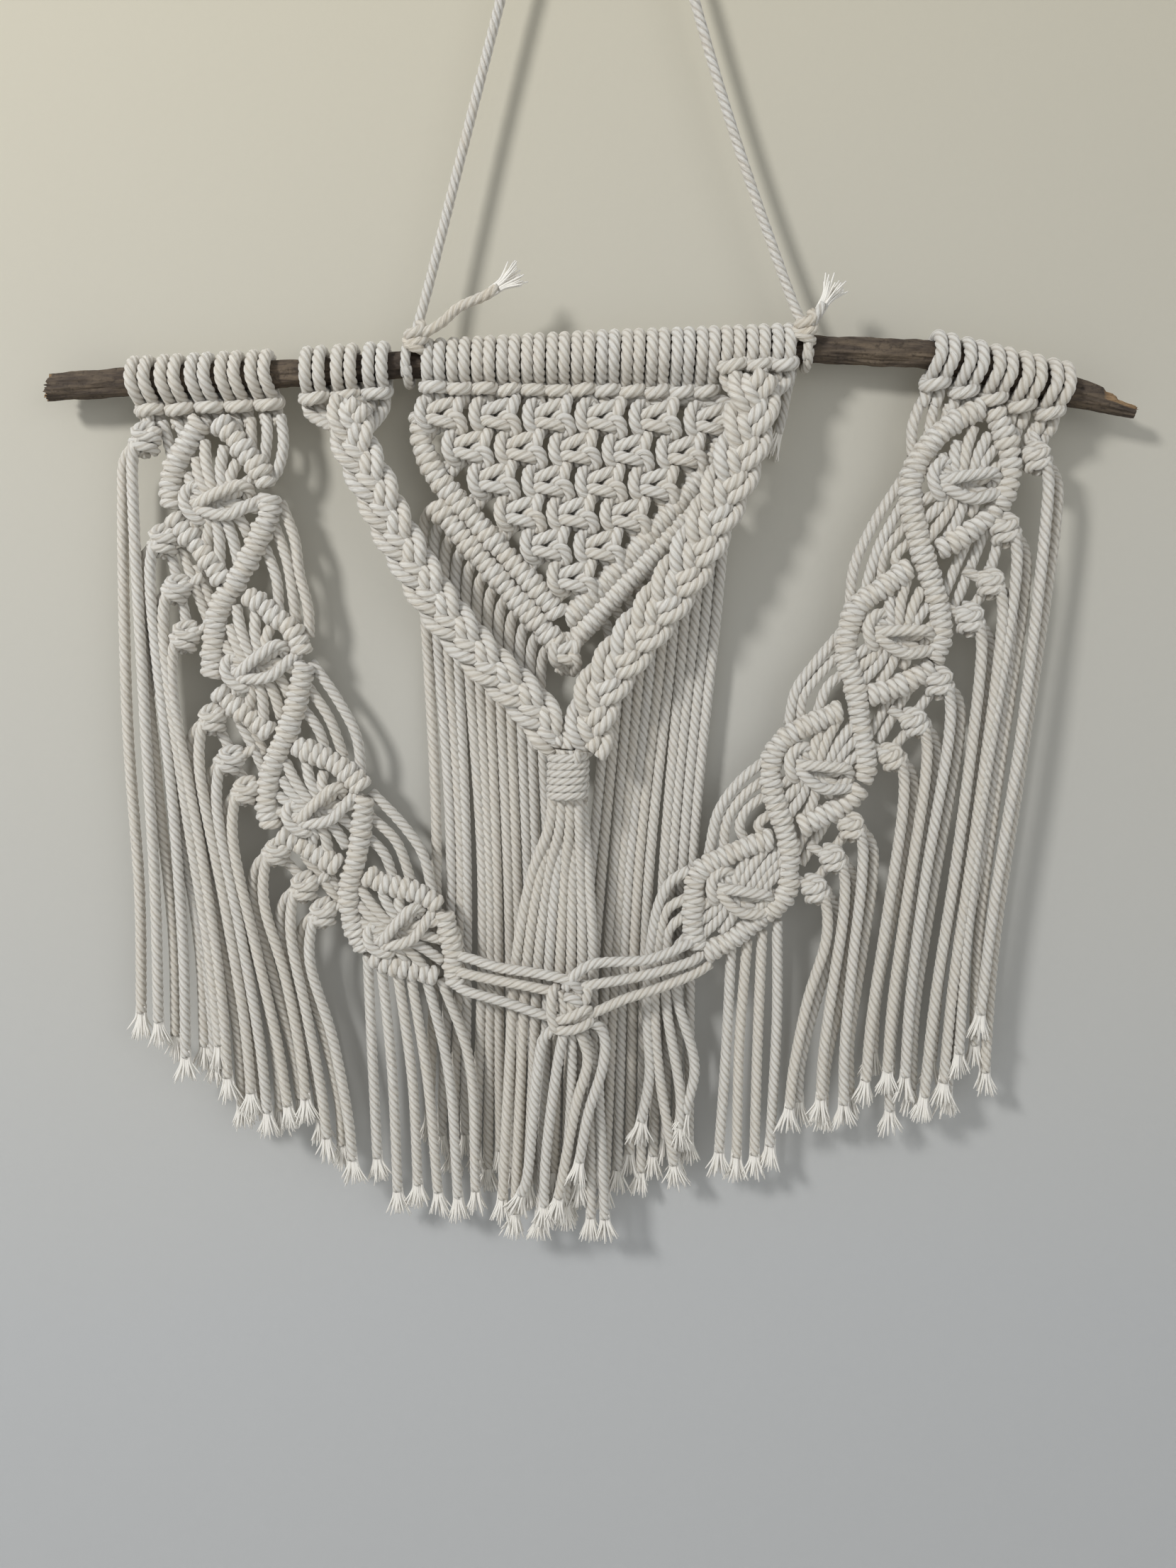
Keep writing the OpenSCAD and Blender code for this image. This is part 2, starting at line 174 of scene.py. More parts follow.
class Shade:
    """One material: its Principled shader, and one method that adds any other node."""

    def __init__(self, name, **plain):
        self.material = bpy.data.materials.new(name)
        self.material.use_nodes = True
        self.tree = self.material.node_tree
        self.shader = self.tree.nodes["Principled BSDF"]
        for socket, value in plain.items():
            self.shader.inputs[socket.replace("_", " ")].default_value = value

    def node(self, kind, choices, inputs, output=0):
        made = self.tree.nodes.new(kind)
        for name, value in choices.items():
            if name == "stops":
                self.set_stops(made.color_ramp, value)
            else:
                setattr(made, name, value)
        for key, value in inputs.items():
            if isinstance(value, Wire):
                self.tree.links.new(value.socket, made.inputs[key])
            else:
                made.inputs[key].default_value = value
        return Wire(self, made.outputs[output])

    @staticmethod
    def set_stops(ramp, stops):
        ramp.elements[0].position, ramp.elements[0].color = stops[0]
        ramp.elements[1].position, ramp.elements[1].color = stops[-1]
        for place, colour in stops[1:-1]:
            ramp.elements.new(place).color = colour

    def attribute(self, name, output):
        return self.node("ShaderNodeAttribute", {"attribute_name": name}, {}, output)

    def stretched(self, vector, scale):
        """A vector with each of its parts scaled on its own."""
        return self.node("ShaderNodeVectorMath", {"operation": "MULTIPLY"}, {0: vector, 1: scale})

    def clouds(self, vector, scale, detail=3.0, roughness=0.55):
        inputs = {"Vector": vector, "Scale": scale, "Detail": detail, "Roughness": roughness}
        return self.node("ShaderNodeTexNoise", {}, inputs)

    def ramp(self, value, stops):
        grey = [(place, (level, level, level, 1.0)) for place, level in stops]
        return self.node("ShaderNodeValToRGB", {"stops": grey}, {0: value})

    def mix(self, factor, first, second):
        """Two colours, each a tuple or a wire, mixed by factor."""
        first = (*first, 1.0) if isinstance(first, tuple) else first
        second = (*second, 1.0) if isinstance(second, tuple) else second
        return self.node("ShaderNodeMix", {"data_type": "RGBA"}, {0: factor, 6: first, 7: second}, 2)

    def bump(self, height, strength, distance, normal=None):
        inputs = {"Strength": strength, "Distance": distance, "Height": height}
        if normal:
            inputs["Normal"] = normal
        return self.node("ShaderNodeBump", {}, inputs)

    def feed(self, **wires):
        for socket, wire in wires.items():
            self.tree.links.new(wire.socket, self.shader.inputs[socket.replace("_", " ")])
        return self.material


def cotton(name, crown, groove_shade, warmth):
    """Twisted cotton: fibres along each ply, painted shade between plies, and strands of slightly different
    tone.
    """
    shade = Shade(name, Roughness=0.92, Sheen_Weight=0.25, Sheen_Roughness=0.6, Specular_IOR_Level=0.15)
    yarn = shade.attribute("yarn", "Vector")
    crest = shade.attribute("crest", "Fac")
    tone = shade.attribute("tone", "Fac")
    fibres = shade.clouds(shade.stretched(yarn, (1.0, 1.0, 0.11)), 1.55, 5.0, 0.7)
    tufts = shade.clouds(shade.stretched(yarn, (1.0, 1.0, 0.5)), 0.55, 2.0)
    slow = shade.clouds(shade.stretched(yarn, (0.2, 0.2, 0.03)), 1.0, 2.0)
    # Painted shade between plies: the groove colour where the crest is low, broken up by fibre noise.
    ply_shade = shade.ramp(crest * 0.8 + fibres * 0.45 - 0.12, [(0.05, 0.0), (0.75, 1.0)])
    plain = shade.mix(ply_shade, groove_shade, crown)
    warm = (crown[0] * 0.90, crown[1] * 0.80, crown[2] * 0.64)
    blotch = shade.ramp(slow * 0.75 + tone * 0.5, [(0.45, 0.0), (0.85, 1.0)])
    loose = shade.ramp(crest * 0.5, [(0.55, 0.0), (0.75, 1.0)])
    # Frayed tufts take the cotton's crown colour, made a little paler as painted light that makes up for the
    # shade on their thin tubes.
    pale = tuple(min(1.0, part * 1.02) for part in crown)
    colour = shade.mix(loose, shade.mix(blotch * warmth, plain, warm), pale)
    height = (fibres * 0.65 + tufts * 0.35) * (1.0 - loose)
    return shade.feed(Base_Color=colour, Normal=shade.bump(height, 1.0, 0.0015))


def bark(name, dark, light, wood):
    """Weathered bark, rubbed pale along its ridges, with bare wood where the attribute says."""
    shade = Shade(name, Roughness=0.85, Specular_IOR_Level=0.25)
    place = shade.node("ShaderNodeTexCoord", {}, {}, "Object")
    bare = shade.attribute("bare", "Fac")
    grain = shade.clouds(shade.stretched(place, (1.0, 6.0, 6.0)), 90.0, 6.0, 0.65)
    patches = shade.clouds(shade.stretched(place, (1.0, 2.0, 2.0)), 34.0, 5.0, 0.6)
    pits = shade.clouds(place, 620.0, 3.0, 0.6)
    rubbed = shade.ramp(grain * 0.55 + patches * 0.5, [(0.46, 0.0), (0.66, 1.0)])
    skin = shade.mix(rubbed, dark, light)
    speckled = shade.mix(shade.ramp(pits, [(0.30, 1.0), (0.46, 0.0)]) * 0.6, skin, (0.02, 0.016, 0.013))
    lines = shade.clouds(shade.stretched(place, (0.6, 9.0, 9.0)), 160.0, 4.0, 0.6)
    timber = shade.mix(shade.ramp(lines, [(0.35, 0.0), (0.65, 1.0)]), (0.17, 0.105, 0.055), wood)
    colour = shade.mix(bare, speckled, timber)
    height = grain * 0.5 + pits * 0.3 + patches * 0.4
    return shade.feed(Base_Color=colour, Normal=shade.bump(height, 0.8, 0.0012))


def plaster(name, colour, low):
    """Matt paint on a nearly smooth wall, seen only from its front, with a painted cast of light: warm above,
    cooler towards its foot.
    """
    shade = Shade(name, Roughness=0.9, Specular_IOR_Level=0.1)
    place = shade.node("ShaderNodeTexCoord", {}, {}, "Object")
    height = shade.node("ShaderNodeSeparateXYZ", {}, {0: place}, "Z")
    paint = shade.clouds(place, 420.0, 3.0)
    slow = shade.clouds(place, 2.2, 2.0)
    # Painted light: a warm cast above fading into a cooler cast towards the wall's foot.
    light_fade = shade.ramp(height * 1.2 + slow * 0.2 + 0.65, [(0.05, 0.0), (0.75, 1.0)])
    shade.feed(Base_Color=shade.mix(light_fade, low, colour), Normal=shade.bump(paint, 0.12, 0.0004))
    back = shade.node("ShaderNodeNewGeometry", {}, {}, "Backfacing")
    clear = shade.node("ShaderNodeBsdfTransparent", {}, {})
    surface = Wire(shade, shade.shader.outputs[0])
    shown = shade.node("ShaderNodeMixShader", {}, {0: back, 1: surface, 2: clear})
    shade.tree.links.new(shown.socket, shade.tree.nodes["Material Output"].inputs["Surface"])
    return shade.material


def finishes():
    """The materials by name, made once."""
    s = settings()
    if "Cotton cord" not in bpy.data.materials:
        cotton("Cotton cord", tuple(s.cotton), tuple(s.cotton_groove_shade), 0.24)
        cotton("Hanging cord", tuple(s.cotton), tuple(s.cotton_groove_shade), 0.6)
        bark("Driftwood", tuple(s.bark), tuple(s.bark_light), tuple(s.wood))
        plaster("Wall paint", tuple(s.wall), tuple(s.wall_low_light_cast))
        plaster("Floor paint", tuple(s.floor), tuple(s.floor))
    return bpy.data.materials


# ---------------------------------------------------------------- cord


def smooth_line(points, step):
    """Points about step apart on a smooth curve through the given ones."""
    p = np.asarray(points, float)
    t = np.concatenate([[0.0], np.cumsum(np.sqrt(np.linalg.norm(np.diff(p, axis=0), axis=1)))])
    slope = np.gradient(p, t, axis=0)
    u = np.linspace(0.0, 1.0, 12, endpoint=False)[:, None]
    pieces = []
    for i in range(len(p) - 1):
        h = t[i + 1] - t[i]
        pieces.append(
            (2 * u**3 - 3 * u**2 + 1) * p[i]
            + (u**3 - 2 * u**2 + u) * h * slope[i]
            + (3 * u**2 - 2 * u**3) * p[i + 1]
            + (u**3 - u**2) * h * slope[i + 1]
        )
    dense = np.concatenate(pieces + [p[-1:]])
    along = np.concatenate([[0.0], np.cumsum(np.linalg.norm(np.diff(dense, axis=0), axis=1))])
    count = max(2, int(round(along[-1] / step)) + 1)
    places = np.linspace(0.0, along[-1], count)
    return np.stack([np.interp(places, along, dense[:, k]) for k in range(3)], axis=1)


def line_length(line):
    return float(np.linalg.norm(np.diff(line, axis=0), axis=1).sum())


def carried_frames(line):
    """Two directions across the line at each point, carried along it without turning."""
    heading = np.gradient(line, axis=0)
    heading /= np.linalg.norm(heading, axis=1)[:, None] + 1e-12
    start = np.array([0.0, 1.0, 0.0]) if abs(heading[0][1]) < 0.8 else np.array([1.0, 0.0, 0.0])
    side = np.empty_like(line)
    for i, t in enumerate(heading):
        start = start - t * (start @ t)
        start /= math.sqrt(start @ start) + 1e-12
        side[i] = start
    return side, np.cross(heading, side)


class Skein:
    """Cords gathered into one mesh, with what the cotton material reads from it."""

    SIDES = 12
    LOOSE = 2.0

    def __init__(self, seed):
        self.chance = random.Random(seed)
        self.points, self.faces, self.yarn, self.crest, self.tone = [], [], [], [], []
        self.count = 0

    def tube(self, line, radii, outline, turn, tone):
        """Sweeps an outline along a line. outline is each corner's share of the radius."""
        n, sides = len(line), len(outline)
        side, over = carried_frames(line)
        along = np.concatenate([[0.0], np.cumsum(np.linalg.norm(np.diff(line, axis=0), axis=1))])
        corner = 2 * np.pi * np.arange(sides) / sides
        angle = corner[None, :] + (turn * along)[:, None]
        reach = np.asarray(radii)[:, None] * np.asarray(outline)[None, :]
        ring = (
            line[:, None, :]
            + (reach * np.cos(angle))[..., None] * side[:, None, :]
            + (reach * np.sin(angle))[..., None] * over[:, None, :]
        )
        self.points.append(ring.reshape(-1, 3))
        begin = self.chance.uniform(0, 400)
        yarn = np.empty((n, sides, 3))
        yarn[..., 0] = 2.0 * np.cos(corner)
        yarn[..., 1] = 2.0 * np.sin(corner)
        yarn[..., 2] = (along + begin)[:, None]
        self.yarn.append(yarn.reshape(-1, 3))
        crest = np.full(sides, self.LOOSE)
        if sides == self.SIDES:
            crest = np.clip((np.asarray(outline) - 0.8) / 0.2, 0, 1)
        self.crest.append(np.tile(crest, n))
        self.tone.append(np.full(n * sides, tone))
        i, k = np.meshgrid(np.arange(n - 1), np.arange(sides), indexing="ij")
        j = (k + 1) % sides
        base = self.count
        quads = np.stack([i * sides + k, i * sides + j, (i + 1) * sides + j, (i + 1) * sides + k], axis=-1)
        self.faces += (quads.reshape(-1, 4) + base).tolist()
        self.faces.append([base + c for c in range(sides - 1, -1, -1)])
        self.faces.append([base + (n - 1) * sides + c for c in range(sides)])
        self.count += n * sides

    def cord(self, points, radius=2.0, step=1.15, tone=None):
        """One laid cord through the points, in millimetres. Returns its centreline."""
        line = smooth_line(points, step)
        tone = self.chance.uniform(0, 1) if tone is None else tone
        outline = [0.81 if k % 3 == 0 else 1.0 for k in range(self.SIDES)]
        lay = settings().lay_length / MM
        self.tube(line, np.full(len(line), radius * 1.03), outline, -2 * math.pi / lay, tone)
        return line

    def fray(self, end, heading, radius=2.0, tufts=36, length=10.5, spread=4.6):
        """The opened end of a cord: fine tufts that fan out and taper."""
        heading = np.asarray(heading, float)
        heading /= np.linalg.norm(heading)
        side = np.cross(heading, [0.0, 1.0, 0.0])
        side /= np.linalg.norm(side)
        over = np.cross(side, heading)
        end = np.asarray(end, float)
        for _ in range(tufts):
            angle = self.chance.uniform(0, 2 * math.pi)
            out = math.sqrt(self.chance.random())
            away = math.cos(angle) * side + 0.55 * math.sin(angle) * over
            size = length * self.chance.uniform(0.66, 1.04)
            fan = spread * (0.25 + 0.75 * out) * self.chance.uniform(0.6, 1.1)
            curl = self.chance.uniform(-0.9, 0.9) * side + self.chance.uniform(-0.5, 0.5) * over
            path = [
                end - heading * 2.8 + away * out * radius * 0.8,
                end + heading * size * 0.25 + away * (out * radius * 0.8 + fan * 0.12),
                end + heading * size * 0.62 + away * (out * radius * 0.8 + fan * 0.45) + curl * 0.4,
                end + heading * size + away * (out * radius * 0.8 + fan * 0.85) + curl,
            ]
            line = smooth_line(path, size / 5)
            thick = np.linspace(0.60, 0.22, len(line))
            self.tube(line, thick, [1.0] * 4, 0.0, self.chance.uniform(0, 0.6))

    def make(self, name, body, nodes=(), finish="Cotton cord"):
        """The skein's mesh as a piece that rides on a body and stands for CAD nodes."""
        mesh = bpy.data.meshes.new(name)
        mesh.from_pydata((np.concatenate(self.points) * MM).tolist(), [], self.faces)
        self.write(mesh, "yarn", "FLOAT_VECTOR", "vector", np.concatenate(self.yarn))
        self.write(mesh, "crest", "FLOAT", "value", np.concatenate(self.crest))
        self.write(mesh, "tone", "FLOAT", "value", np.concatenate(self.tone))
        mesh.polygons.foreach_set("use_smooth", [True] * len(mesh.polygons))
        mesh.update()
        piece = bpy.data.objects.new(name, mesh)
        bpy.context.scene.collection.objects.link(piece)
        piece.data.materials.append(finishes()[finish])
        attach(piece, body)
        if nodes:
            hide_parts(*nodes)
        return piece

    @staticmethod
    def write(mesh, name, kind, part, values):
        mesh.attributes.new(name, kind, "POINT").data.foreach_set(part, values.astype(np.float32).ravel())


def free_cord(name, body, route, seed, radius=2.0, nodes=(),
              finish="Cotton cord"):
    """A cord that hangs free, as its own piece."""
    skein = Skein(seed)
    line = skein.cord(route, radius, 1.3)
    piece = skein.make(name, body, nodes, finish)
    return line


# ---------------------------------------------------------------- knots


def stick_at(x):
    """Height of the stick's axis and its radius at x."""
    return float(np.interp(x, STICK_X, STICK_Z)), float(np.interp(x, STICK_X, STICK_R))


def round_stick(x, angle, reach):
    """A point round the stick: 0 degrees in front, 90 on top, 180 behind, 270 below."""
    z, r = stick_at(x)
    a = math.radians(angle)
    return (x, -(r + reach) * math.cos(a), z + (r + reach) * math.sin(a))


def larks_head(skein, x, half, bar, lean, feet):
    """A cord folded over the stick: both ends come down in front of it and behind the fold's bar.

    bar is the bar's (y, z), lean how far it hangs to one side, and feet both ends' places below.
    """
    z, _ = stick_at(x)
    reach = 2.1
    low = math.degrees(math.atan2(z - bar[1], -bar[0]))
    sag = skein.chance.uniform(-0.35, 0.35)
    slant = skein.chance.uniform(0.1, 0.9)

    def leg(side):
        at = x + side * half
        near = lean * 0.7
        path = [feet[0] if side < 0 else feet[1]]
        path.append((at + lean, bar[0] + 3.2, bar[1] - 4.2))
        path.append((at + near, bar[0] + 3.9, bar[1] + 0.6))
        path += [round_stick(at + lean * 0.25, -low * 0.45, reach + 0.2)]
        path += [round_stick(at, a, reach) for a in (-4, 28, 60, 92, 124, 156, 188, 220)]
        under = round_stick(at + near * 0.6 + side * 0.5, 252, reach + 1.2)
        path.append(under)
        path.append((at + near + side * 1.35, bar[0] + 3.4, bar[1] + 1.5 + side * slant))
        return path

    left, right = leg(-1), leg(1)
    middle = x + lean * 0.85
    across = [
        (middle - half - 1.2, bar[0] + 1.3, bar[1] - slant + 0.3),
        (middle - half * 0.6, bar[0] - 1.0, bar[1] - slant * 0.6 + sag),
        (middle + half * 0.6, bar[0] - 1.1, bar[1] + slant * 0.5 + sag),
        (middle + half + 1.2, bar[0] + 1.2, bar[1] + slant + 0.3),
    ]
    skein.cord(left + across + right[::-1], 2.15, 0.9)


def placed(points, at, wide=1.0, tall=1.0, tilt=0.0):
    """Points of a knot, scaled, tilted and put at a place."""
    c, s = math.cos(math.radians(tilt)), math.sin(math.radians(tilt))
    moved = []
    for x, y, z in points:
        x, z = x * wide, z * tall
        moved.append((at[0] + x * c - z * s, at[1] + y, at[2] + x * s + z * c))
    return moved


LEFT_LOOP = [
    (-2.0, 1.6, 4.6), (-4.6, -0.8, 5.0), (-6.5, -3.0, 3.2), (-7.0, -3.9, 0.2), (-6.5, -3.8, -2.6),
    (-4.8, -2.2, -4.8), (-2.6, 0.2, -5.4), (-1.0, 1.6, -4.6),
]
UPPER_TURN = [(-5.2, -0.2, 0.2), (-3.4, -2.7, 1.0), (-0.6, -3.7, 2.2), (2.4, -3.5, 3.4), (5.0, -2.0, 4.3),
              (7.0, 0.6, 4.2)]
UPPER_END = [(7.1, -1.8, 5.8), (6.7, -3.9, 3.9), (6.2, -4.0, 1.6), (4.8, -1.8, 0.0), (2.4, 1.0, -0.4)]
LOWER_TURN = [(-5.2, -1.4, -2.4), (-3.0, -3.3, -2.2), (-0.2, -4.0, -2.6), (3.0, -3.7, -3.1),
              (5.4, -1.9, -3.6), (7.0, 0.6, -3.6)]
LOWER_END = [(1.8, -0.6, -0.8), (3.8, -3.1, -0.1), (6.2, -4.1, -0.6), (7.7, -3.6, -2.8), (8.0, -2.4, -5.4)]


def square_knot(skein, at, tops, feet, wide=1.0, tall=1.0, radius=2.08):
    """A square knot round two core cords. tops and feet are the four cords' places above and below it."""
    jitter = skein.chance.uniform(-0.3, 0.3)
    at = (at[0] + jitter, at[1], at[2] - jitter * 0.6)
    tilt = skein.chance.uniform(-3, 3)

    def put(points):
        return placed(points, at, wide, tall, tilt)

    skein.cord([tops[0]] + put(LEFT_LOOP) + [feet[0]], radius)
    skein.cord(put(UPPER_TURN), radius)
    skein.cord([tops[3]] + put(UPPER_END), radius)
    skein.cord(put(LOWER_TURN), radius)
    skein.cord(put(LOWER_END) + [feet[3]], radius)
    for k, side in ((1, -1), (2, 1)):
        core = put([(side * 2.4, 0.0, 3.8), (side * 1.9, 0.2, 0.0), (side * 1.9, 0.1, -3.8)])
        skein.cord([tops[k]] + core + [feet[k]], radius)


def ridge(skein, points, y, half, pitch, radius, lean, rough):
    """A row of half hitches round a holding cord, each turn laid across the line.

    half is half the row's width, pitch the distance between turns, and rough how uneven they are.
    """
    line = smooth_line([(x, y, z) for x, z in points], 0.5)
    total = line_length(line)
    count = max(2, int(round(total / pitch)))
    along = np.linspace(0, total, len(line))
    skein.cord([tuple(p + np.array([0, 0.5, 0])) for p in line[::6]] + [tuple(line[-1])], 1.7, 1.6)
    for i in range(count):
        s = (i + 0.5) * total / count
        here = np.array([np.interp(s, along, line[:, k]) for k in range(3)])
        ahead = np.array([np.interp(min(s + 1, total), along, line[:, k]) for k in range(3)])
        behind = np.array([np.interp(max(s - 1, 0), along, line[:, k]) for k in range(3)])
        t = (ahead - behind) / np.linalg.norm(ahead - behind)
        n = np.cross(t, [0.0, 1.0, 0.0])
        n /= np.linalg.norm(n)
        swell = 1 + skein.chance.uniform(-rough, rough) * 0.5
        slip = skein.chance.uniform(-rough, rough)
        turn = []
        for angle in (-165, -128, -92, -60, -30, 0, 30, 60, 92, 128, 165):
            a = math.radians(angle)
            out = math.sin(a) * half * swell
            depth = -math.cos(a) * 2.15 * swell - 0.15
            shift = lean * pitch * math.sin(a) + slip * 0.5
            turn.append(here + n * out + np.array([0, depth, 0]) + t * shift)
        skein.cord(turn, radius, 1.1)


def body_of(node):
    """The body that a CAD node belongs to."""
    for body, nodes in frame["record"]["behaviour"]["bodies"].items():
        if node in nodes:
            return body
    raise RuntimeError(f"no body holds {node}")


# ---------------------------------------------------------------- pieces


HANGER_ROUTE = [
    (-58, -6.6, -213), (-55.5, -3.6, -203), (-43, -1, -154), (-27, 0, -93), (-13, 0, -41), (-5, 0, -12),
    (-1.8, 0, -2.6), (0, 0, -0.8), (1.8, 0, -2.6), (6, 0, -16), (23, 0, -67), (48, -1, -138),
    (66, -2, -182), (74.5, -4, -202), (77, -6, -207),
]
# Where the hanging cord turns round the stick
HANGER_TURNS_X = (-61.3, 78.5)


class HANGING_OT_hanger(bpy.types.Operator):
    """The hanging cord, its turns round the stick, its knots and frayed tails"""

    bl_idname = "hanging.hanger"
    bl_label = "Hanging cord"

    def execute(self, context):
        radius = settings().hanger_diameter / MM / 2
        free_cord(
            "hanging_cord", "hanger", HANGER_ROUTE, 3, radius, ["hanger_cord"],
            "Hanging cord",
        )
        rings = Skein(4)
        for x in HANGER_TURNS_X:
            path = [round_stick(x + 0.6 * a / 360, a, 2.1) for a in range(-40, 351, 26)]
            rings.cord(path, radius)
        rings.make("hanger_turns", "hanger", ["hanger_rings"], "Hanging cord")
        self.knot("hanger_knot_left", (-57.5, -7.2, -213.5), 5,
                  [[(-57, -7.5, -212.5), (-54, -7.8, -212), (-48, -8, -208.5), (-43, -8, -204),
                    (-33, -8.5, -199.5), (-29, -8.5, -197)]])
        self.knot("hanger_knot_right", (77.5, -7.2, -207), 6,
                  [[(78.5, -7, -207), (81, -7.4, -203), (83, -7.5, -199.5)],
                   [(76, 8.4, -219), (74.5, 8.8, -226), (73, 8.8, -236), (71.8, 8.6, -241)]])
        return {"FINISHED"}

    @staticmethod
    def knot(name, at, seed, tails):
        """An overhand knot drawn tight, and its frayed tails."""
        skein = Skein(seed)
        x, y, z = at
        radius = settings().hanger_diameter / MM / 2
        skein.cord([
            (x - 3.5, y + 3.5, z - 3.5), (x - 2.6, y + 0.4, z - 2.4), (x + 0.4, y - 1.2, z - 1.9),
            (x + 2.7, y + 0.6, z - 0.4), (x + 1.6, y + 2.6, z + 1.8), (x - 1.4, y + 2.2, z + 2.0),
            (x - 2.8, y + 0.2, z + 0.6), (x - 0.6, y - 1.7, z + 0.9), (x + 2.2, y - 0.4, z + 2.8),
            (x + 1.2, y + 1.2, z + 5),
        ], radius)
        skein.cord([
            (x + 2.6, y + 2.4, z - 4.4), (x + 1.2, y - 0.2, z - 4.0), (x - 1.6, y - 0.6, z - 3.2),
            (x - 3.4, y + 1.2, z - 1.4), (x - 2.4, y + 2.8, z + 0.4),
        ], radius)
        for tail in tails:
            line = skein.cord(tail, radius)
            skein.fray(line[-1], line[-1] - line[-3], radius, 26, 9.5, 4.5)
        skein.make(name + "_cords", "hanger", [name], "Hanging cord")


class HANGING_OT_stick(bpy.types.Operator):
    """The bowed driftwood stick with its cut left end and broken right end"""

    bl_idname = "hanging.stick"
    bl_label = "Driftwood stick"

    def execute(self, context):
        if context.object and context.object.mode != "OBJECT":
            bpy.ops.object.mode_set(mode="OBJECT")
        bpy.ops.object.select_all(action="DESELECT")
        length = (STICK_X[-1] - STICK_X[0]) * MM
        middle = (STICK_X[-1] + STICK_X[0]) / 2 * MM
        bpy.ops.mesh.primitive_cylinder_add(
            vertices=48, radius=0.0045, depth=length, end_fill_type="TRIFAN",
            location=(middle, 0, 0), rotation=(0, math.pi / 2, 0),
        )
        stick = context.object
        stick.name = "driftwood_stick_bark"
        bpy.ops.object.transform_apply(location=True, rotation=True, scale=True)
        self.cut_rings(stick)
        self.shape(stick.data)
        bpy.ops.object.mode_set(mode="EDIT")
        bpy.ops.mesh.select_all(action="SELECT")
        bpy.ops.mesh.normals_make_consistent(inside=False)
        bpy.ops.object.mode_set(mode="OBJECT")
        bpy.ops.object.shade_smooth_by_angle(angle=math.radians(42))
        stick.data.materials.append(finishes()["Driftwood"])
        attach(stick, "hanging")
        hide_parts("driftwood_stick")
        return {"FINISHED"}

    @classmethod
    def cut_rings(cls, stick):
        """Divides the edges that run along the stick and those that run to its ends' middles."""
        cls.cut_edges(stick.data, lambda a, b: abs(a.x - b.x) > 0.1, 60)
        cls.cut_edges(stick.data, lambda a, b: min(a.yz.length, b.yz.length) < MM, 5)
        finer = stick.modifiers.new("Finer", "SUBSURF")
        finer.subdivision_type = "SIMPLE"
        finer.levels = 2
        finer.render_levels = 2
        bpy.ops.object.modifier_apply(modifier=finer.name)

    @staticmethod
    def cut_edges(mesh, wanted, cuts):
        """Divides the edges whose two ends are as wanted."""
        bpy.ops.object.mode_set(mode="EDIT")
        bpy.ops.mesh.select_mode(type="EDGE")
        bpy.ops.mesh.select_all(action="DESELECT")
        bpy.ops.object.mode_set(mode="OBJECT")
        for edge in mesh.edges:
            first, second = (mesh.vertices[v].co for v in edge.vertices)
            edge.select = wanted(first, second)
        bpy.ops.object.mode_set(mode="EDIT")
        bpy.ops.mesh.subdivide(number_cuts=cuts)
        bpy.ops.object.mode_set(mode="OBJECT")

    @staticmethod
    def shape(mesh):
        """Bows the stick, roughens its bark, and breaks its ends."""
        bare = mesh.attributes.new("bare", "FLOAT", "POINT")
        for vertex, mark in zip(mesh.vertices, bare.data):
            x = vertex.co.x / MM
            angle = math.atan2(vertex.co.z, vertex.co.y)
            out = math.hypot(vertex.co.y, vertex.co.z) / 4.5 / MM
            z, r = stick_at(x)
            wave = Vector((x * 0.045, math.cos(angle) * 1.3, math.sin(angle) * 1.3))
            bump = 0.16 * noise.noise(wave * 1.6) + 0.10 * noise.noise(wave * Vector((3, 4, 4)))
            fine = Vector((x * 0.5, math.cos(angle) * 5, math.sin(angle) * 5))
            bump += 0.035 * noise.noise(fine) - 0.02
            reach = min(out, 1.0) * r * (1 + bump * min(out, 1.0))
            left = max(0.0, 1 - (x - STICK_X[0]) / 3.0)
            right = max(0.0, 1 - (STICK_X[-1] - x) / 12.0)
            top = math.sin(angle)
            if left:
                x += left * (1.6 * noise.noise(fine * 1.7) + 1.2 * top * out)
            if right and top > -0.2:
                step = 0.42 if x > STICK_X[-1] - 7 else 0.72
                reach *= 1 - (1 - step) * min(1.0, top + 0.5)
                x += right * 1.8 * noise.noise(fine * 1.4)
            if right and out < 0.1:
                x -= 1.0
            mark.value = 1.0 if (left and out < 0.99) or (right and top > -0.1) else 0.0
            vertex.co = Vector((x, reach * math.cos(angle), z + reach * math.sin(angle))) * MM


# Each group of lark's heads: first x, count, step, half the gap between a head's two turns, and how it leans
HEADS = {
    "larks_heads_left": (-155, 5, 10.5, 2.3, 3.0),
    "larks_heads_left_braid": (-94, 3, 11, 2.35, 0.0),
    "larks_heads_centre": (-51.7, 12, 8.7, 2.06, 0.0),
    "larks_heads_right_braid": (52.6, 3, 8.8, 2.08, 0.0),
    "larks_heads_right": (127, 5, 10.2, 2.25, -3.4),
}
# The centre group's bars lie on one sloping line, which starts here
CENTRE_BAR_X = -52
CENTRE_BAR_Z = -230.2
CENTRE_BAR_SLOPE = 0.0146
# How far the other groups' bars lie below the stick's axis
BAR_DROPS = {
    "larks_heads_left": 10.4,
    "larks_heads_left_braid": 9.8,
    "larks_heads_right_braid": 6.6,
    "larks_heads_right": 9.8,
}


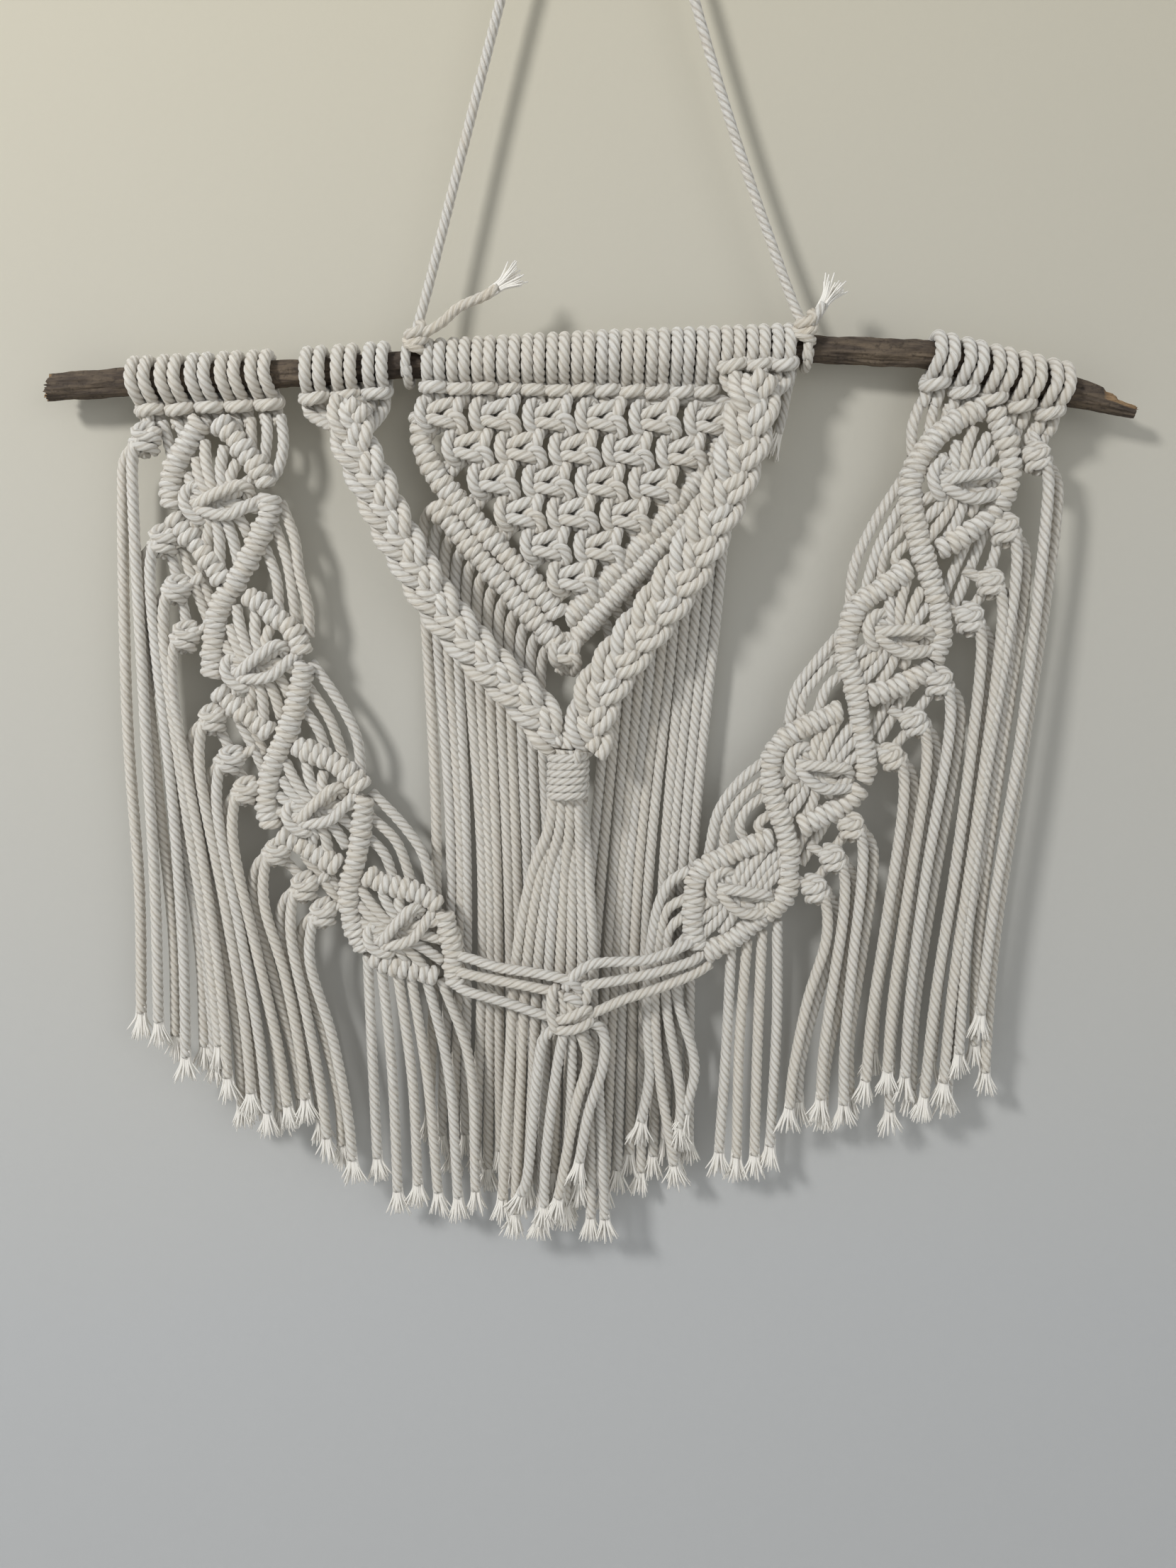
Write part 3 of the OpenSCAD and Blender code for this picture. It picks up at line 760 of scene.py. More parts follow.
class HANGING_OT_larks_heads(bpy.types.Operator):
    """The five groups of lark's heads on the stick"""

    bl_idname = "hanging.larks_heads"
    bl_label = "Lark's heads"

    def execute(self, context):
        for seed, (node, group) in enumerate(HEADS.items()):
            skein = Skein(20 + seed)
            first, count, step, half, lean = group
            for i in range(count):
                x = first + i * step
                feet = self.feet(node, x, half, lean)
                larks_head(skein, x, half, self.bar(node, x), lean, feet)
            skein.make(node + "_cords", body_of(node), [node])
        return {"FINISHED"}

    @staticmethod
    def bar(node, x):
        """Where a head's bar lies: its y and z."""
        z, r = stick_at(x)
        if "centre" in node:
            drop = z - CENTRE_BAR_Z - (x - CENTRE_BAR_X) * CENTRE_BAR_SLOPE
        else:
            drop = BAR_DROPS[node]
        reach = r + 6.3
        return -math.sqrt(max(reach**2 - drop**2, 2.4**2)), z - drop

    @staticmethod
    def feet(node, x, half, lean):
        """Where a head's two ends go."""
        z, _ = stick_at(x)
        if node == "larks_heads_left_braid":
            spread = (x + 83) * 0.22
            return [(-79 + spread + side * 1.6, BRAID_Y + 2.5, -245 - abs(spread) * 0.3) for side in (-1, 1)]
        if node == "larks_heads_right_braid":
            spread = (x - 61) * 0.22
            return [(60 + spread + side * 1.6, BRAID_Y + 2.5, -232 - abs(spread) * 0.3) for side in (-1, 1)]
        if node == "larks_heads_centre":
            return [(x + side * half, 0.4, NET_TOP_Z + 4.5) for side in (-1, 1)]
        return [(x + side * half + lean * 1.3, -1.6, z - 16.5) for side in (-1, 1)]


def net_x(row, i):
    return NET_MIDDLE_X + NET_COLUMN_STEP * (i - (6 - row) / 2)


def net_z(row):
    return NET_TOP_Z - NET_ROW_STEP * (row - 1)


class HANGING_OT_net(bpy.types.Operator):
    """The net of square knots, row by row"""

    bl_idname = "hanging.net"
    bl_label = "Net"

    def execute(self, context):
        first, _, step, half, _ = HEADS["larks_heads_centre"]
        half_step = NET_ROW_STEP / 2
        for row in range(1, 7):
            skein = Skein(40 + row)
            for i in range(7 - row):
                x, z = net_x(row, i), net_z(row)
                if row == 1:
                    head = first + 2 * i * step
                    tops = [(head + k, 0.2, z + 8.2) for k in (-half, half)]
                    tops += [(head + step + k, 0.2, z + 8.2) for k in (-half, half)]
                else:
                    tops = [(x + k, NET_Y + 0.5, z + half_step + 0.4) for k in (-7.4, -4.7, 4.7, 7.4)]
                feet = [(x + k, NET_Y + 0.5, z - half_step) for k in (-4.7, -2.0, 2.0, 4.7)]
                if i == 0:
                    feet[0] = (x - 8.6, NET_Y + 0.8, z - half_step - 1.4)
                    feet[1] = (x - 6.0, NET_Y + 0.8, z - half_step - 3.6)
                if i == 6 - row:
                    feet[3] = (x + 8.6, NET_Y + 0.8, z - half_step - 1.4)
                    feet[2] = (x + 6.0, NET_Y + 0.8, z - half_step - 3.6)
                square_knot(skein, (x, NET_Y, z), tops, feet)
            skein.make(f"net_row_{row}_cords", "hanging", [f"net_row_{row}"])
        return {"FINISHED"}


NET_RIDGES = {
    "net_ridge_left_inner": [
        (-56.5, -239), (-56.8, -247), (-54.2, -253.5), (-50.4, -260.5), (-43.5, -268), (-36.5, -275.5),
        (-28.4, -284.2), (-20.4, -292.3), (-12.4, -300.8), (-6, -308),
    ],
    "net_ridge_right_inner": [
        (50.6, -246), (45.4, -255), (39.6, -263.3), (31.1, -272.6), (22.7, -282), (11.2, -294.6),
        (2, -304.2), (-3, -309.4),
    ],
    "net_ridge_left_outer": [
        (-52, -269.5), (-47, -274.8), (-39.4, -283.5), (-32.2, -291.3), (-22.3, -302), (-12.4, -312.5),
        (-6.3, -319),
    ],
    "net_ridge_right_outer": [
        (44.5, -267), (39.7, -272), (32.6, -279.8), (22.7, -290.7), (11.6, -303), (4, -311.8),
        (-0.5, -316.5),
    ],
}


class HANGING_OT_net_ridges(bpy.types.Operator):
    """The four rows of half hitches under the net, and the knot at its foot"""

    bl_idname = "hanging.net_ridges"
    bl_label = "Net ridges"

    def execute(self, context):
        for seed, (node, points) in enumerate(NET_RIDGES.items()):
            skein = Skein(50 + seed)
            if "left" in node:
                ridge(skein, points, NET_Y, half=2.35, pitch=3.45, radius=2.15, lean=0.15, rough=0.45)
            else:
                ridge(skein, points, NET_Y, half=2.35, pitch=2.85, radius=1.95, lean=0.45, rough=0.2)
            skein.make(node + "_cords", "hanging", [node])
        skein = Skein(58)
        square_knot(skein, (-4, NET_Y - 0.2, -321.6),
                    [(-7, NET_Y, -316), (-5, NET_Y, -314), (-2, NET_Y, -314), (-0.5, NET_Y, -316)],
                    [(-6, 1.5, -329), (-4.5, 2.5, -329), (-2.5, 2.5, -329),
                     (-1, 1.5, -329)], 0.6, 0.75, radius=1.9)
        skein.make("net_bottom_knot_cords", "hanging", ["net_bottom_knot"])
        return {"FINISHED"}


class HANGING_OT_centre_fringe(bpy.types.Operator):
    """The net's cords, hanging behind everything else, with their frayed ends"""

    bl_idname = "hanging.centre_fringe"
    bl_label = "Centre fringe"

    def execute(self, context):
        for side, word, count in ((-1, "left", 12), (1, "right", 11)):
            ridge_line = sorted((side * x, z) for x, z in NET_RIDGES[f"net_ridge_{word}_outer"])
            xs, zs = [p[0] for p in ridge_line], [p[1] for p in ridge_line]
            ends = Skein(70 + side)
            for i in range(count):
                x = 7 + 4 * i
                z = float(np.interp(x, xs, zs))
                foot = -552 + 5 * (i % 3) + 2.2 * i
                sway = ends.chance.uniform(-1.5, 1.5)
                route = [
                    (side * (x - 1), 0.6, z + 1), (side * (x + 2.2), 1.2, z - 0.6),
                    (side * (x + 4.6), 3.0, z - 4), (side * (x + 5.8), FRINGE_Y, z - 12),
                    (side * (x + 5.0), FRINGE_Y, z - 34),
                    (side * (0.65 * x + 1.4 * i + 2.4) + sway, FRINGE_Y, (z + foot) / 2),
                    (side * (2.5 + 4.7 * i), FRINGE_Y, foot + 10),
                ]
                nodes = [f"centre_fringe_{word}"] if i == 0 else []
                name = f"centre_fringe_{word}_{i + 1}"
                line = free_cord(name, "hanging", route, 700 + side * 50 + i, nodes=nodes)
                ends.fray(line[-1], line[-1] - line[-6])
            ends.make(f"centre_fringe_{word}_ends", "hanging")
        return {"FINISHED"}


BRAIDS = {
    "braid_left": [(-79, -236), (-80, -244), (-77, -254), (-72, -264), (-66, -277), (-58, -291),
                   (-50, -304), (-41, -315), (-32, -325), (-24, -332), (-15, -341), (-9, -349),
                   (-7, -357)],
    "braid_right": [(60, -224), (60, -233), (58, -244), (54, -257), (48, -271), (43, -282), (37, -293),
                    (30, -304), (22, -315), (15, -325), (9, -335), (6, -346), (5, -357)],
}
BINDING_AT = (-1.6, BRAID_Y, -365)


def braid(skein, points, width, period, cords, radius):
    """Three strands plaited along a line, each of a few cords side by side."""
    line = smooth_line([(x, BRAID_Y, z) for x, z in points], 1.0)
    heading = np.gradient(line, axis=0)
    heading /= np.linalg.norm(heading, axis=1)[:, None]
    across = np.cross(heading, [0.0, 1.0, 0.0])
    across /= np.linalg.norm(across, axis=1)[:, None]
    along = np.concatenate([[0.0], np.cumsum(np.linalg.norm(np.diff(line, axis=0), axis=1))])
    swing = width / 2 - radius * (1 + 0.55 * (cords - 1))
    out = np.array([0.0, 1.0, 0.0])
    for strand in range(3):
        phase = 2 * math.pi * (along / period + strand / 3)
        centre = line + across * (swing * np.sin(phase))[:, None] + out * (1.9 * np.sin(2 * phase))[:, None]
        go = np.gradient(centre, axis=0)
        go /= np.linalg.norm(go, axis=1)[:, None]
        beside = np.cross(go, out)
        beside /= np.linalg.norm(beside, axis=1)[:, None]
        for c in range(cords):
            offset = (c - (cords - 1) / 2) * radius * 1.75
            skein.cord([tuple(p) for p in (centre + beside * offset)[::3]], radius)


class HANGING_OT_braids(bpy.types.Operator):
    """The two braids, the binding that gathers them, and the tassel"""

    bl_idname = "hanging.braids"
    bl_label = "Braids and tassel"

    def execute(self, context):
        left = Skein(90)
        braid(left, BRAIDS["braid_left"], 15.5, 33, 2, 2.3)
        left.make("braid_left_cords", "braids", ["braid_left"])
        right = Skein(91)
        braid(right, BRAIDS["braid_right"], 17.5, 36, 2, 2.45)
        right.make("braid_right_cords", "braids", ["braid_right"])
        self.binding()
        self.tassel()
        return {"FINISHED"}

    @staticmethod
    def binding():
        skein = Skein(92)
        x, y, z = BINDING_AT
        turns, reach, pitch = 6, 5.9, 2.75
        coil = []
        for k in range(turns * 12 + 1):
            a = 2 * math.pi * k / 12
            height = z + 7.0 - pitch * k / 12
            coil.append((x + reach * 1.08 * math.cos(a), y - reach * 0.94 * math.sin(a), height))
        skein.cord(coil, 1.6)
        skein.cord([(x + 4, y - 6.4, z + 9.5), (x + 3.2, y - 5.2, z + 6), (x + 2, y - 3, z)], 1.6)
        for k in range(6):
            a = 2 * math.pi * k / 6
            px, py = x + 3.1 * math.cos(a), y + 3.0 * math.sin(a)
            skein.cord([(px, py, z + 9), (px, py, z), (px, py, z - 9)], 1.9)
        skein.make("braid_binding_cords", "braids", ["braid_binding"])

    @staticmethod
    def tassel():
        feet = [(-24, -546), (-19, -552), (-14, -540), (-9, -553), (-4, -534), (1, -548), (6, -538),
                (11, -553)]
        cords = Skein(93)
        for i, (foot_x, foot_z) in enumerate(feet):
            x = BINDING_AT[0] + 1.5 * (i - 3.5)
            y = BRAID_Y + (1.6 if i % 2 else -1.6)
            route = [
                (x, y, -372), (x + 0.3 * (i - 3.5), TASSEL_Y - 2.5 + (1.2 if i % 2 else -1.2), -384),
                (foot_x * 0.45 + x * 0.55, TASSEL_Y, -405), (foot_x * 0.75 + x * 0.25, TASSEL_Y, -436),
                (foot_x * 0.9 + x * 0.1, TASSEL_Y, -490), (foot_x, TASSEL_Y, foot_z + 10),
            ]
            line = cords.cord(route)
            cords.fray(line[-1], line[-1] - line[-6])
        cords.make("tassel_cords", "tassel", ["braid_tassel"])


# Side strips: the lines of their ridges as x and z, tight turns first, then the rows of plumper hitches
RIDGES = {
    "left_diamond_1": (
        [[(-134, -243), (-137, -248), (-141, -254), (-144, -260), (-145.5, -266), (-145, -273)],
         [(-110.5, -268), (-110.5, -274.5), (-114, -282), (-117.5, -289), (-121, -295), (-124, -300)]],
        [[(-145, -276), (-141, -281), (-136, -287), (-131, -293.5), (-127.5, -299)],
         [(-128, -243), (-122, -248.5), (-118, -254), (-114, -258.5), (-111, -265)]]),
    "left_diamond_2": (
        [[(-124, -300), (-128, -305.5), (-130.5, -311.5), (-131.5, -318), (-132.5, -325), (-132.5, -333)],
         [(-99, -327.5), (-101, -337), (-103, -345), (-105.5, -352.5), (-109, -360)]],
        [[(-131, -338), (-124, -344.5), (-118, -349), (-112, -353.5)],
         [(-119.5, -303.5), (-114, -306.5), (-109, -311), (-104, -314.5), (-101, -319), (-99.5, -324)]]),
    "left_diamond_3": (
        [[(-109, -360), (-112, -367.5), (-113.5, -374.5), (-114, -382), (-112, -389)],
         [(-77.5, -376.5), (-78.5, -385.5), (-79.5, -394.5), (-81.5, -403.5)]],
        [[(-109.5, -391.5), (-102.5, -395), (-95, -399.5), (-87, -403.5)],
         [(-103, -358), (-94, -361.5), (-87, -365), (-81, -370), (-78, -373.5)]]),
    "left_diamond_4": (
        [[(-81.5, -403.5), (-83.5, -411), (-83.5, -420.5), (-81.5, -428.5), (-78, -436)],
         [(-47.5, -420.5), (-46, -428), (-44, -435.5), (-44, -443), (-42.5, -449)]],
        [[(-75, -438.5), (-68, -441.5), (-61, -443.5), (-50, -446)],
         [(-77, -406.5), (-70, -410), (-63, -411.5), (-55.5, -414), (-49.5, -418)]]),
    "right_diamond_1": (
        [[(141, -232), (130, -238.5), (121.5, -248), (118, -257), (118.5, -266), (121.5, -276),
          (125, -286)]],
        [[(145, -232.5), (149.5, -241), (152.5, -250.5), (152, -259.5), (148, -267.5), (139, -275.5),
          (129.5, -281.5)]]),
    "right_diamond_2": (
        [[(119.5, -288), (111.5, -294.5), (102, -302), (99, -311), (98.5, -320), (102, -329), (104, -336)],
         [(125, -286), (129, -296), (132, -306), (132.5, -314.5), (130.5, -321)]],
        [[(130, -323), (122.5, -328.5), (115, -332), (107.5, -334.5)]]),
    "right_diamond_3": (
        [[(98, -340), (91, -343.5), (84, -347), (78, -351), (74, -357.5), (73.5, -364), (74.5, -371),
          (77, -378), (80, -386)],
         [(104, -336), (105.5, -346), (107.5, -353), (108.5, -360.5), (107.5, -366)]],
        [[(107, -368.5), (102.5, -374.5), (94.5, -379), (85.5, -384)]]),
    "right_diamond_4": (
        [[(75, -389), (66.5, -392), (57.5, -396.5), (50, -401), (47, -406), (47, -413), (46.5, -420),
          (47.5, -427), (49, -432)],
         [(80, -386), (82, -394), (82, -402), (82, -409), (77, -415.5), (69.5, -422), (60, -429.5),
          (52, -434)]],
        []),
}
# Each diamond's corners: top, left, bottom and right, then its knot's middle and tilt in degrees
DIAMONDS = {
    "left_1": ((-131, -246), (-145, -272), (-125, -299), (-112, -267), (-128, -270), 0),
    "left_2": ((-122, -303), (-132, -333), (-110, -354), (-100, -326), (-115.5, -328), 14),
    "left_3": ((-106, -360), (-112, -388), (-86, -402), (-79, -375), (-94.5, -381), 20),
    "left_4": ((-80, -407), (-80, -436), (-48, -446), (-49, -418), (-65, -427), 25),
    "right_1": ((142, -236), (119, -257), (127, -283), (151, -256), (136.5, -257.5), -14),
    "right_2": ((122, -289), (99.5, -314), (106, -334), (132, -314), (117, -312), -22),
    "right_3": ((101, -340), (75, -361), (82, -385), (108, -360), (91, -362), -28),
    "right_4": ((78, -389), (48, -409), (51, -432), (81, -403), (64, -410), -32),
}
ARCS = {
    "left": [
        [(-111.6, -240), (-111, -247), (-112.5, -256)],
        [(-106.4, -240), (-105.3, -250), (-107.5, -259), (-112, -264)],
        [(-148.4, -243), (-145.5, -255)], [(-143, -243), (-140, -251)], [(-138, -242), (-137, -247)],
        [(-132.6, -242), (-133, -247)], [(-127.4, -242), (-127, -247)], [(-122, -242), (-121, -250)],
        [(-117, -241), (-117, -254)], [(-153.6, -243), (-153.5, -249)],
        [(-107, -270), (-102, -283), (-100.5, -295), (-97.5, -308), (-97.5, -318)],
        [(-109.5, -278), (-104.8, -291), (-103, -303), (-102.2, -313)],
        [(-113, -286), (-108.8, -297.5), (-108.5, -309)],
        [(-97, -327), (-87, -341), (-80.5, -354), (-79, -368)],
        [(-98.5, -336), (-90.5, -347.5), (-85.5, -362)],
        [(-101.5, -343), (-94.5, -352), (-92, -361)],
        [(-75.5, -375), (-63.5, -387), (-56, -398), (-52.5, -413)],
        [(-77, -383.5), (-66, -393.5), (-60.5, -409)],
        [(-79, -390.5), (-70.5, -398.5), (-67, -409)],
        [(-143, -287), (-138.3, -301), (-133.5, -315)], [(-138, -293), (-133, -307)],
        [(-126, -346), (-118.5, -360), (-114, -371)], [(-121, -349), (-115, -362)],
        [(-101, -400), (-91, -413), (-85, -422)], [(-96, -402), (-88, -413)],
    ],
    "right": [
        [(120, -231), (117.5, -239), (118.5, -249)], [(125, -231), (123.5, -243)],
        [(130, -231), (129.5, -238)],
        [(135.2, -231), (136, -236)], [(140.4, -232), (141, -235)], [(145.4, -233), (146, -236)],
        [(150.6, -234), (150, -242)], [(155.6, -236), (153.5, -247)], [(160.8, -237), (157, -250)],
        [(165.8, -239), (163, -246)],
        [(115.5, -257), (106, -273), (100, -288), (99.5, -303)],
        [(116.5, -264.5), (108.3, -281), (104.5, -297)],
        [(119, -272), (110.3, -283), (110, -293)],
        [(120.5, -278), (114.5, -284.5), (118.5, -290)],
        [(97.5, -311), (88, -323), (81.5, -333), (79.5, -346)],
        [(98.5, -318), (89.5, -327.5), (84, -336), (84, -345.5)],
        [(101, -325), (93, -331.5), (90, -341.5)],
        [(72.5, -359), (62.5, -367.5), (55, -379), (52, -396)],
        [(73.5, -365.5), (64, -373), (58.3, -382.5), (57.5, -394)],
        [(74.5, -371.5), (65.5, -378), (63, -384.5), (66, -391.5)],
        [(77.5, -378), (70, -384), (73.5, -389)],
        [(140.5, -277), (133.5, -297)], [(147, -272.5), (137.5, -302)],
        [(119, -331), (109.5, -349)], [(126, -326), (113, -352)],
        [(91, -380.5), (83.5, -397)], [(98.5, -377), (87, -399)],
    ],
}
OUTER_KNOTS = {
    "left": [(-153.5, -250), (-148.5, -285), (-144.5, -302), (-142, -319), (-133, -349), (-127, -364),
             (-121.5, -375.5), (-110.5, -398.5), (-100.5, -412), (-93.5, -422)],
    "right": [(161.5, -249), (152.5, -274), (149, -293), (142.5, -306), (133, -329), (125.5, -344),
              (118, -357), (104.5, -383.5), (98.5, -396), (92.5, -408)],
}
# Feet of the two cords under each outer knot
FEET = {
    "left": [(-165, -473), (-157, -475), (-152, -482), (-147, -489), (-141, -486), (-134, -484),
             (-137, -492), (-131, -497), (-127, -510), (-122, -503), (-121, -507), (-116, -511),
             (-112, -512), (-108, -508), (-104, -507), (-101, -505), (-96, -516), (-93, -521),
             (-88, -526), (-83, -530)],
    "right": [(163, -489), (158, -464), (158, -478), (151, -480), (149, -498), (146, -492), (142, -485),
              (139, -498), (135, -497), (131, -490), (127, -506), (124, -488), (119, -482), (116, -492),
              (111, -499), (108, -502), (101, -505), (99, -500), (91, -503), (87, -504)],
}
BOTTOM = {
    "left": [
        [(-77, -438), (-76, -470), (-74, -530)], [(-72, -440), (-68, -485), (-66, -544)],
        [(-66, -442), (-60, -490), (-58, -541)], [(-61, -443), (-54, -490), (-50, -544)],
        [(-55, -445), (-46, -485), (-42, -546)], [(-49, -447), (-38, -480), (-35, -543)],
    ],
    "right": [
        [(79, -421), (81, -460), (81, -521)], [(73.5, -425), (74, -470), (75, -525)],
        [(68, -429), (67, -470), (68, -526)], [(62, -432), (62, -470), (61, -524)],
        [(45, -402), (38, -407), (33.5, -417), (30.5, -454), (32.5, -485), (30, -512)],
        [(44, -413), (37, -418), (34.5, -430), (33.5, -454), (36, -482), (43.5, -530)],
        [(43.5, -420), (38, -426), (37.5, -436), (38, -455), (45, -494), (45, -514)],
        [(45, -428), (41, -434), (42, -452), (50, -481), (47, -508)],
    ],
}
# Cords that join the strips, as x, y and z
JOINING = {
    "left": [
        [(-44, -5, -437), (-37, -7.5, -437.5), (-27, -10.5, -439.5), (-10, -13, -441), (1, -15, -443),
         (5, -13.5, -447)],
        [(-44, -5, -443), (-38, -8, -443.5), (-23, -11.5, -445), (-8, -13.5, -447), (-3, -12, -449)],
        [(-43, -5, -449), (-39, -8, -450), (-25, -11.5, -452.5), (-8, -13.5, -457), (-3, -12, -458)],
    ],
    "right": [
        [(49, -5, -428), (43, -8, -430.5), (30, -11, -435), (9, -13.5, -436.5), (3, -15, -440),
         (-1, -14.5, -446)],
        [(51, -5, -434), (47, -8, -436), (35, -10.5, -439.5), (21, -12.5, -442.5), (7, -13.5, -445),
         (3, -12, -447)],
        [(54, -5, -438), (48, -8, -441), (35, -10.5, -446), (21, -12.5, -450.5), (8, -13.5, -456.5),
         (2, -14, -458.5)],
    ],
}
UPPER_BAR = [(-9.5, -0.5, 1.0), (-8.2, -2.6, -1.6), (-6.0, -4.0, -1.2), (-1.5, -4.6, 1.2), (4.0, -4.4, 3.6),
             (8.5, -3.0, 5.2), (11.0, -0.6, 3.4), (9.0, 1.2, 0.5)]
LOWER_BAR = [(-5.0, 0.4, 3.4), (-8.4, -1.2, 4.6), (-11.2, -2.4, 2.6), (-11.9, -3.2, -1.2),
             (-10.2, -3.6, -4.6), (-7.0, -2.8, -7.2), (-5.4, -0.6, -6.4)]
MIDDLE_BAR = [(-8.6, -1.4, -4.4), (-5.6, -3.8, -4.0), (-1.0, -4.6, -5.2), (4.5, -4.5, -5.2),
              (9.0, -3.4, -3.0), (12.5, -1.6, -0.8), (15.5, 0.2, 0.4)]


def between(a, b, share):
    return (a[0] + (b[0] - a[0]) * share, a[1] + (b[1] - a[1]) * share)


class HANGING_OT_strips(bpy.types.Operator):
    """The two side strips: the ridges of each diamond, its knot, the arcs and the outer knots"""

    bl_idname = "hanging.strips"
    bl_label = "Side strips"

    def execute(self, context):
        for seed, (name, (tight, plump)) in enumerate(RIDGES.items()):
            skein = Skein(200 + seed)
            for points in tight:
                ridge(skein, points, STRIP_Y, half=2.4, pitch=2.95, radius=1.95, lean=0.2, rough=0.3)
            for points in plump:
                ridge(skein, points, STRIP_Y, half=2.2, pitch=3.5, radius=2.2, lean=0.05, rough=0.5)
            skein.make(name + "_ridges", "strips", [name])
        for seed, (name, shape) in enumerate(DIAMONDS.items()):
            self.knot(name, shape, 220 + seed)
        for side, word in ((-1, "left"), (1, "right")):
            arcs = Skein(240 + side)
            for points in ARCS[word]:
                depths = [STRIP_Y + 2.6] + [STRIP_Y + 1.3] * (len(points) - 2) + [STRIP_Y + 2.6]
                arcs.cord([(x, y, z) for (x, z), y in zip(points, depths)], 1.95)
            arcs.make(f"{word}_arc_cords", "strips", [f"{word}_inner_arcs"])
            self.outer_knots(side, word)
            self.fringe(side, word)
        return {"FINISHED"}

    @staticmethod
    def knot(name, shape, seed):
        """The square knot in a diamond, and the core cords that fan to its ridges."""
        top, left, bottom, right, middle, tilt = shape
        skein = Skein(seed)
        at = (middle[0], STRIP_Y, middle[1])
        for path in (UPPER_BAR, LOWER_BAR, MIDDLE_BAR):
            skein.cord(placed(path, at, tilt=tilt), 2.1)
        fans = [
            (between(top, left, 0.14), (-1.6, 2.8), -1), (between(top, left, 0.38), (-3.8, 2.0), -1),
            (between(top, left, 0.60), (-5.4, 0.8), -1), (between(top, left, 0.82), (-6.5, -1.0), -1),
            (between(top, right, 0.26), (1.4, 3.2), -1), (between(top, right, 0.50), (3.8, 3.0), -1),
            (between(top, right, 0.78), (6.2, 2.5), -1), (between(left, bottom, 0.30), (-6.0, -4.2), 1),
            (between(left, bottom, 0.55), (-3.6, -4.5), 1), (between(left, bottom, 0.80), (-1.2, -4.5), 1),
            (between(right, bottom, 0.78), (1.5, -4.5), 1), (between(right, bottom, 0.48), (5.0, -4.0), 1),
            (between(right, bottom, 0.18), (8.5, -2.0), 1),
        ]
        for end, near, bow in fans:
            foot = placed([(near[0], -1.2, near[1])], at, tilt=tilt)[0]
            across = ((end[0] + foot[0]) / 2 + bow * 0.8, STRIP_Y - 1.1, (end[1] + foot[2]) / 2)
            inner = (middle[0], STRIP_Y + 0.9, middle[1])
            skein.cord([(end[0], STRIP_Y + 0.4, end[1]), across, foot, inner], 2.05)
        side, number = name.split("_")
        skein.make(f"{side}_square_knot_{number}_cords", "strips", [f"{side}_square_knot_{number}"])

    @staticmethod
    def outer_knots(side, word):
        """Small knots along the strip's outer edge, linked to the ridges beside them."""
        skein = Skein(250 + side)
        tie = [(1.5, 0.6, 5.2), (-1.5, -1.6, 3.9), (-3.0, -3.0, 1.8), (0.0, -3.6, 0.9), (3.1, -2.0, 1.6),
               (3.0, 1.0, 0.3), (0.0, 2.3, -0.8), (-3.2, 0.8, -1.2), (-3.2, -2.2, -1.6),
               (-0.2, -3.5, -2.3), (2.8, -1.8, -1.9), (3.4, 0.6, -3.0)]
        lock = [(3.6, 0.4, 3.6), (2.0, -1.5, 3.2), (-1.4, -1.4, -0.2), (-3.9, -0.4, -2.4),
                (-2.0, 0.8, -4.4), (1.4, -0.6, -4.2)]
        for k, (x, z) in enumerate(OUTER_KNOTS[word]):
            at = (x, STRIP_Y, z)
            tilt = side * skein.chance.uniform(5, 35)
            size = skein.chance.uniform(0.92, 1.08)
            for turns in (tie, lock):
                mirrored = [(-side * px, py, pz) for px, py, pz in turns]
                skein.cord(placed(mirrored, at, size, size, tilt), 1.9)
            if k == 0:
                skein.cord([(x - side * 1.0, STRIP_Y + 1.6, z + 9), (x, STRIP_Y, z + 4)], 1.9)
            else:
                back = (x - side * 9.5, STRIP_Y + 1.0, z + 5)
                skein.cord([back, (x - side * 4.5, STRIP_Y + 0.4, z + 2.2), (x, STRIP_Y, z)], 1.9)
                before = OUTER_KNOTS[word][k - 1]
                if abs(before[1] - z) < 20:
                    start = (before[0] - side * 0.8, STRIP_Y + 1.6, before[1] - 2)
                    skein.cord([start, (x - side * 0.5, STRIP_Y + 1.2, z + 2)], 1.9)
        skein.make(f"{word}_outer_knot_cords", "strips", [f"{word}_outer_knots"])

    @staticmethod
    def fringe(side, word):
        """Cords that drape from the outer knots and from the lowest diamond, with their frayed ends."""
        rest = Skein(260 + side)
        ends = Skein(264 + side)
        for i, (foot_x, foot_z) in enumerate(FEET[word]):
            x, z = OUTER_KNOTS[word][i // 2]
            front = i % 2 == 1
            y = FRONT_STRAND_Y if front else BACK_STRAND_Y
            out = side * (4.3 if front else 8.8)
            drop = 0.5 if front else 1.5
            sway = rest.chance.uniform(-2.0, 2.0)
            route = [
                (x + side * 0.8, y - 0.4, z - 0.6 * drop), (x + out * 0.55, y - 0.8, z - 0.8 - drop),
                (x + out, y, z - 6.0 - drop), (x + out * 1.12, y, z - 19),
                (x * 0.55 + foot_x * 0.45 + out * 0.55 + sway, y, z * 0.55 + foot_z * 0.45),
                (x * 0.2 + foot_x * 0.8 + sway * 0.5, y, z * 0.25 + foot_z * 0.75),
                (foot_x, y, foot_z + 9),
            ]
            if i < 8:
                nodes = [f"{word}_fringe"] if i == 0 else []
                name = f"{word}_fringe_{i + 1}"
                line = free_cord(name, "strips", route, 1000 + side * 100 + i, nodes=nodes)
            else:
                line = rest.cord(route)
            ends.fray(line[-1], line[-1] - line[-6])
        rest.make(f"{word}_fringe_others", "strips")
        low = Skein(268 + side)
        for points in BOTTOM[word]:
            y = BACK_STRAND_Y
            line = low.cord([(points[0][0], y - 0.5, points[0][1])] + [(x, y, z) for x, z in points[1:-1]]
                            + [(points[-1][0], y, points[-1][1] + 8)])
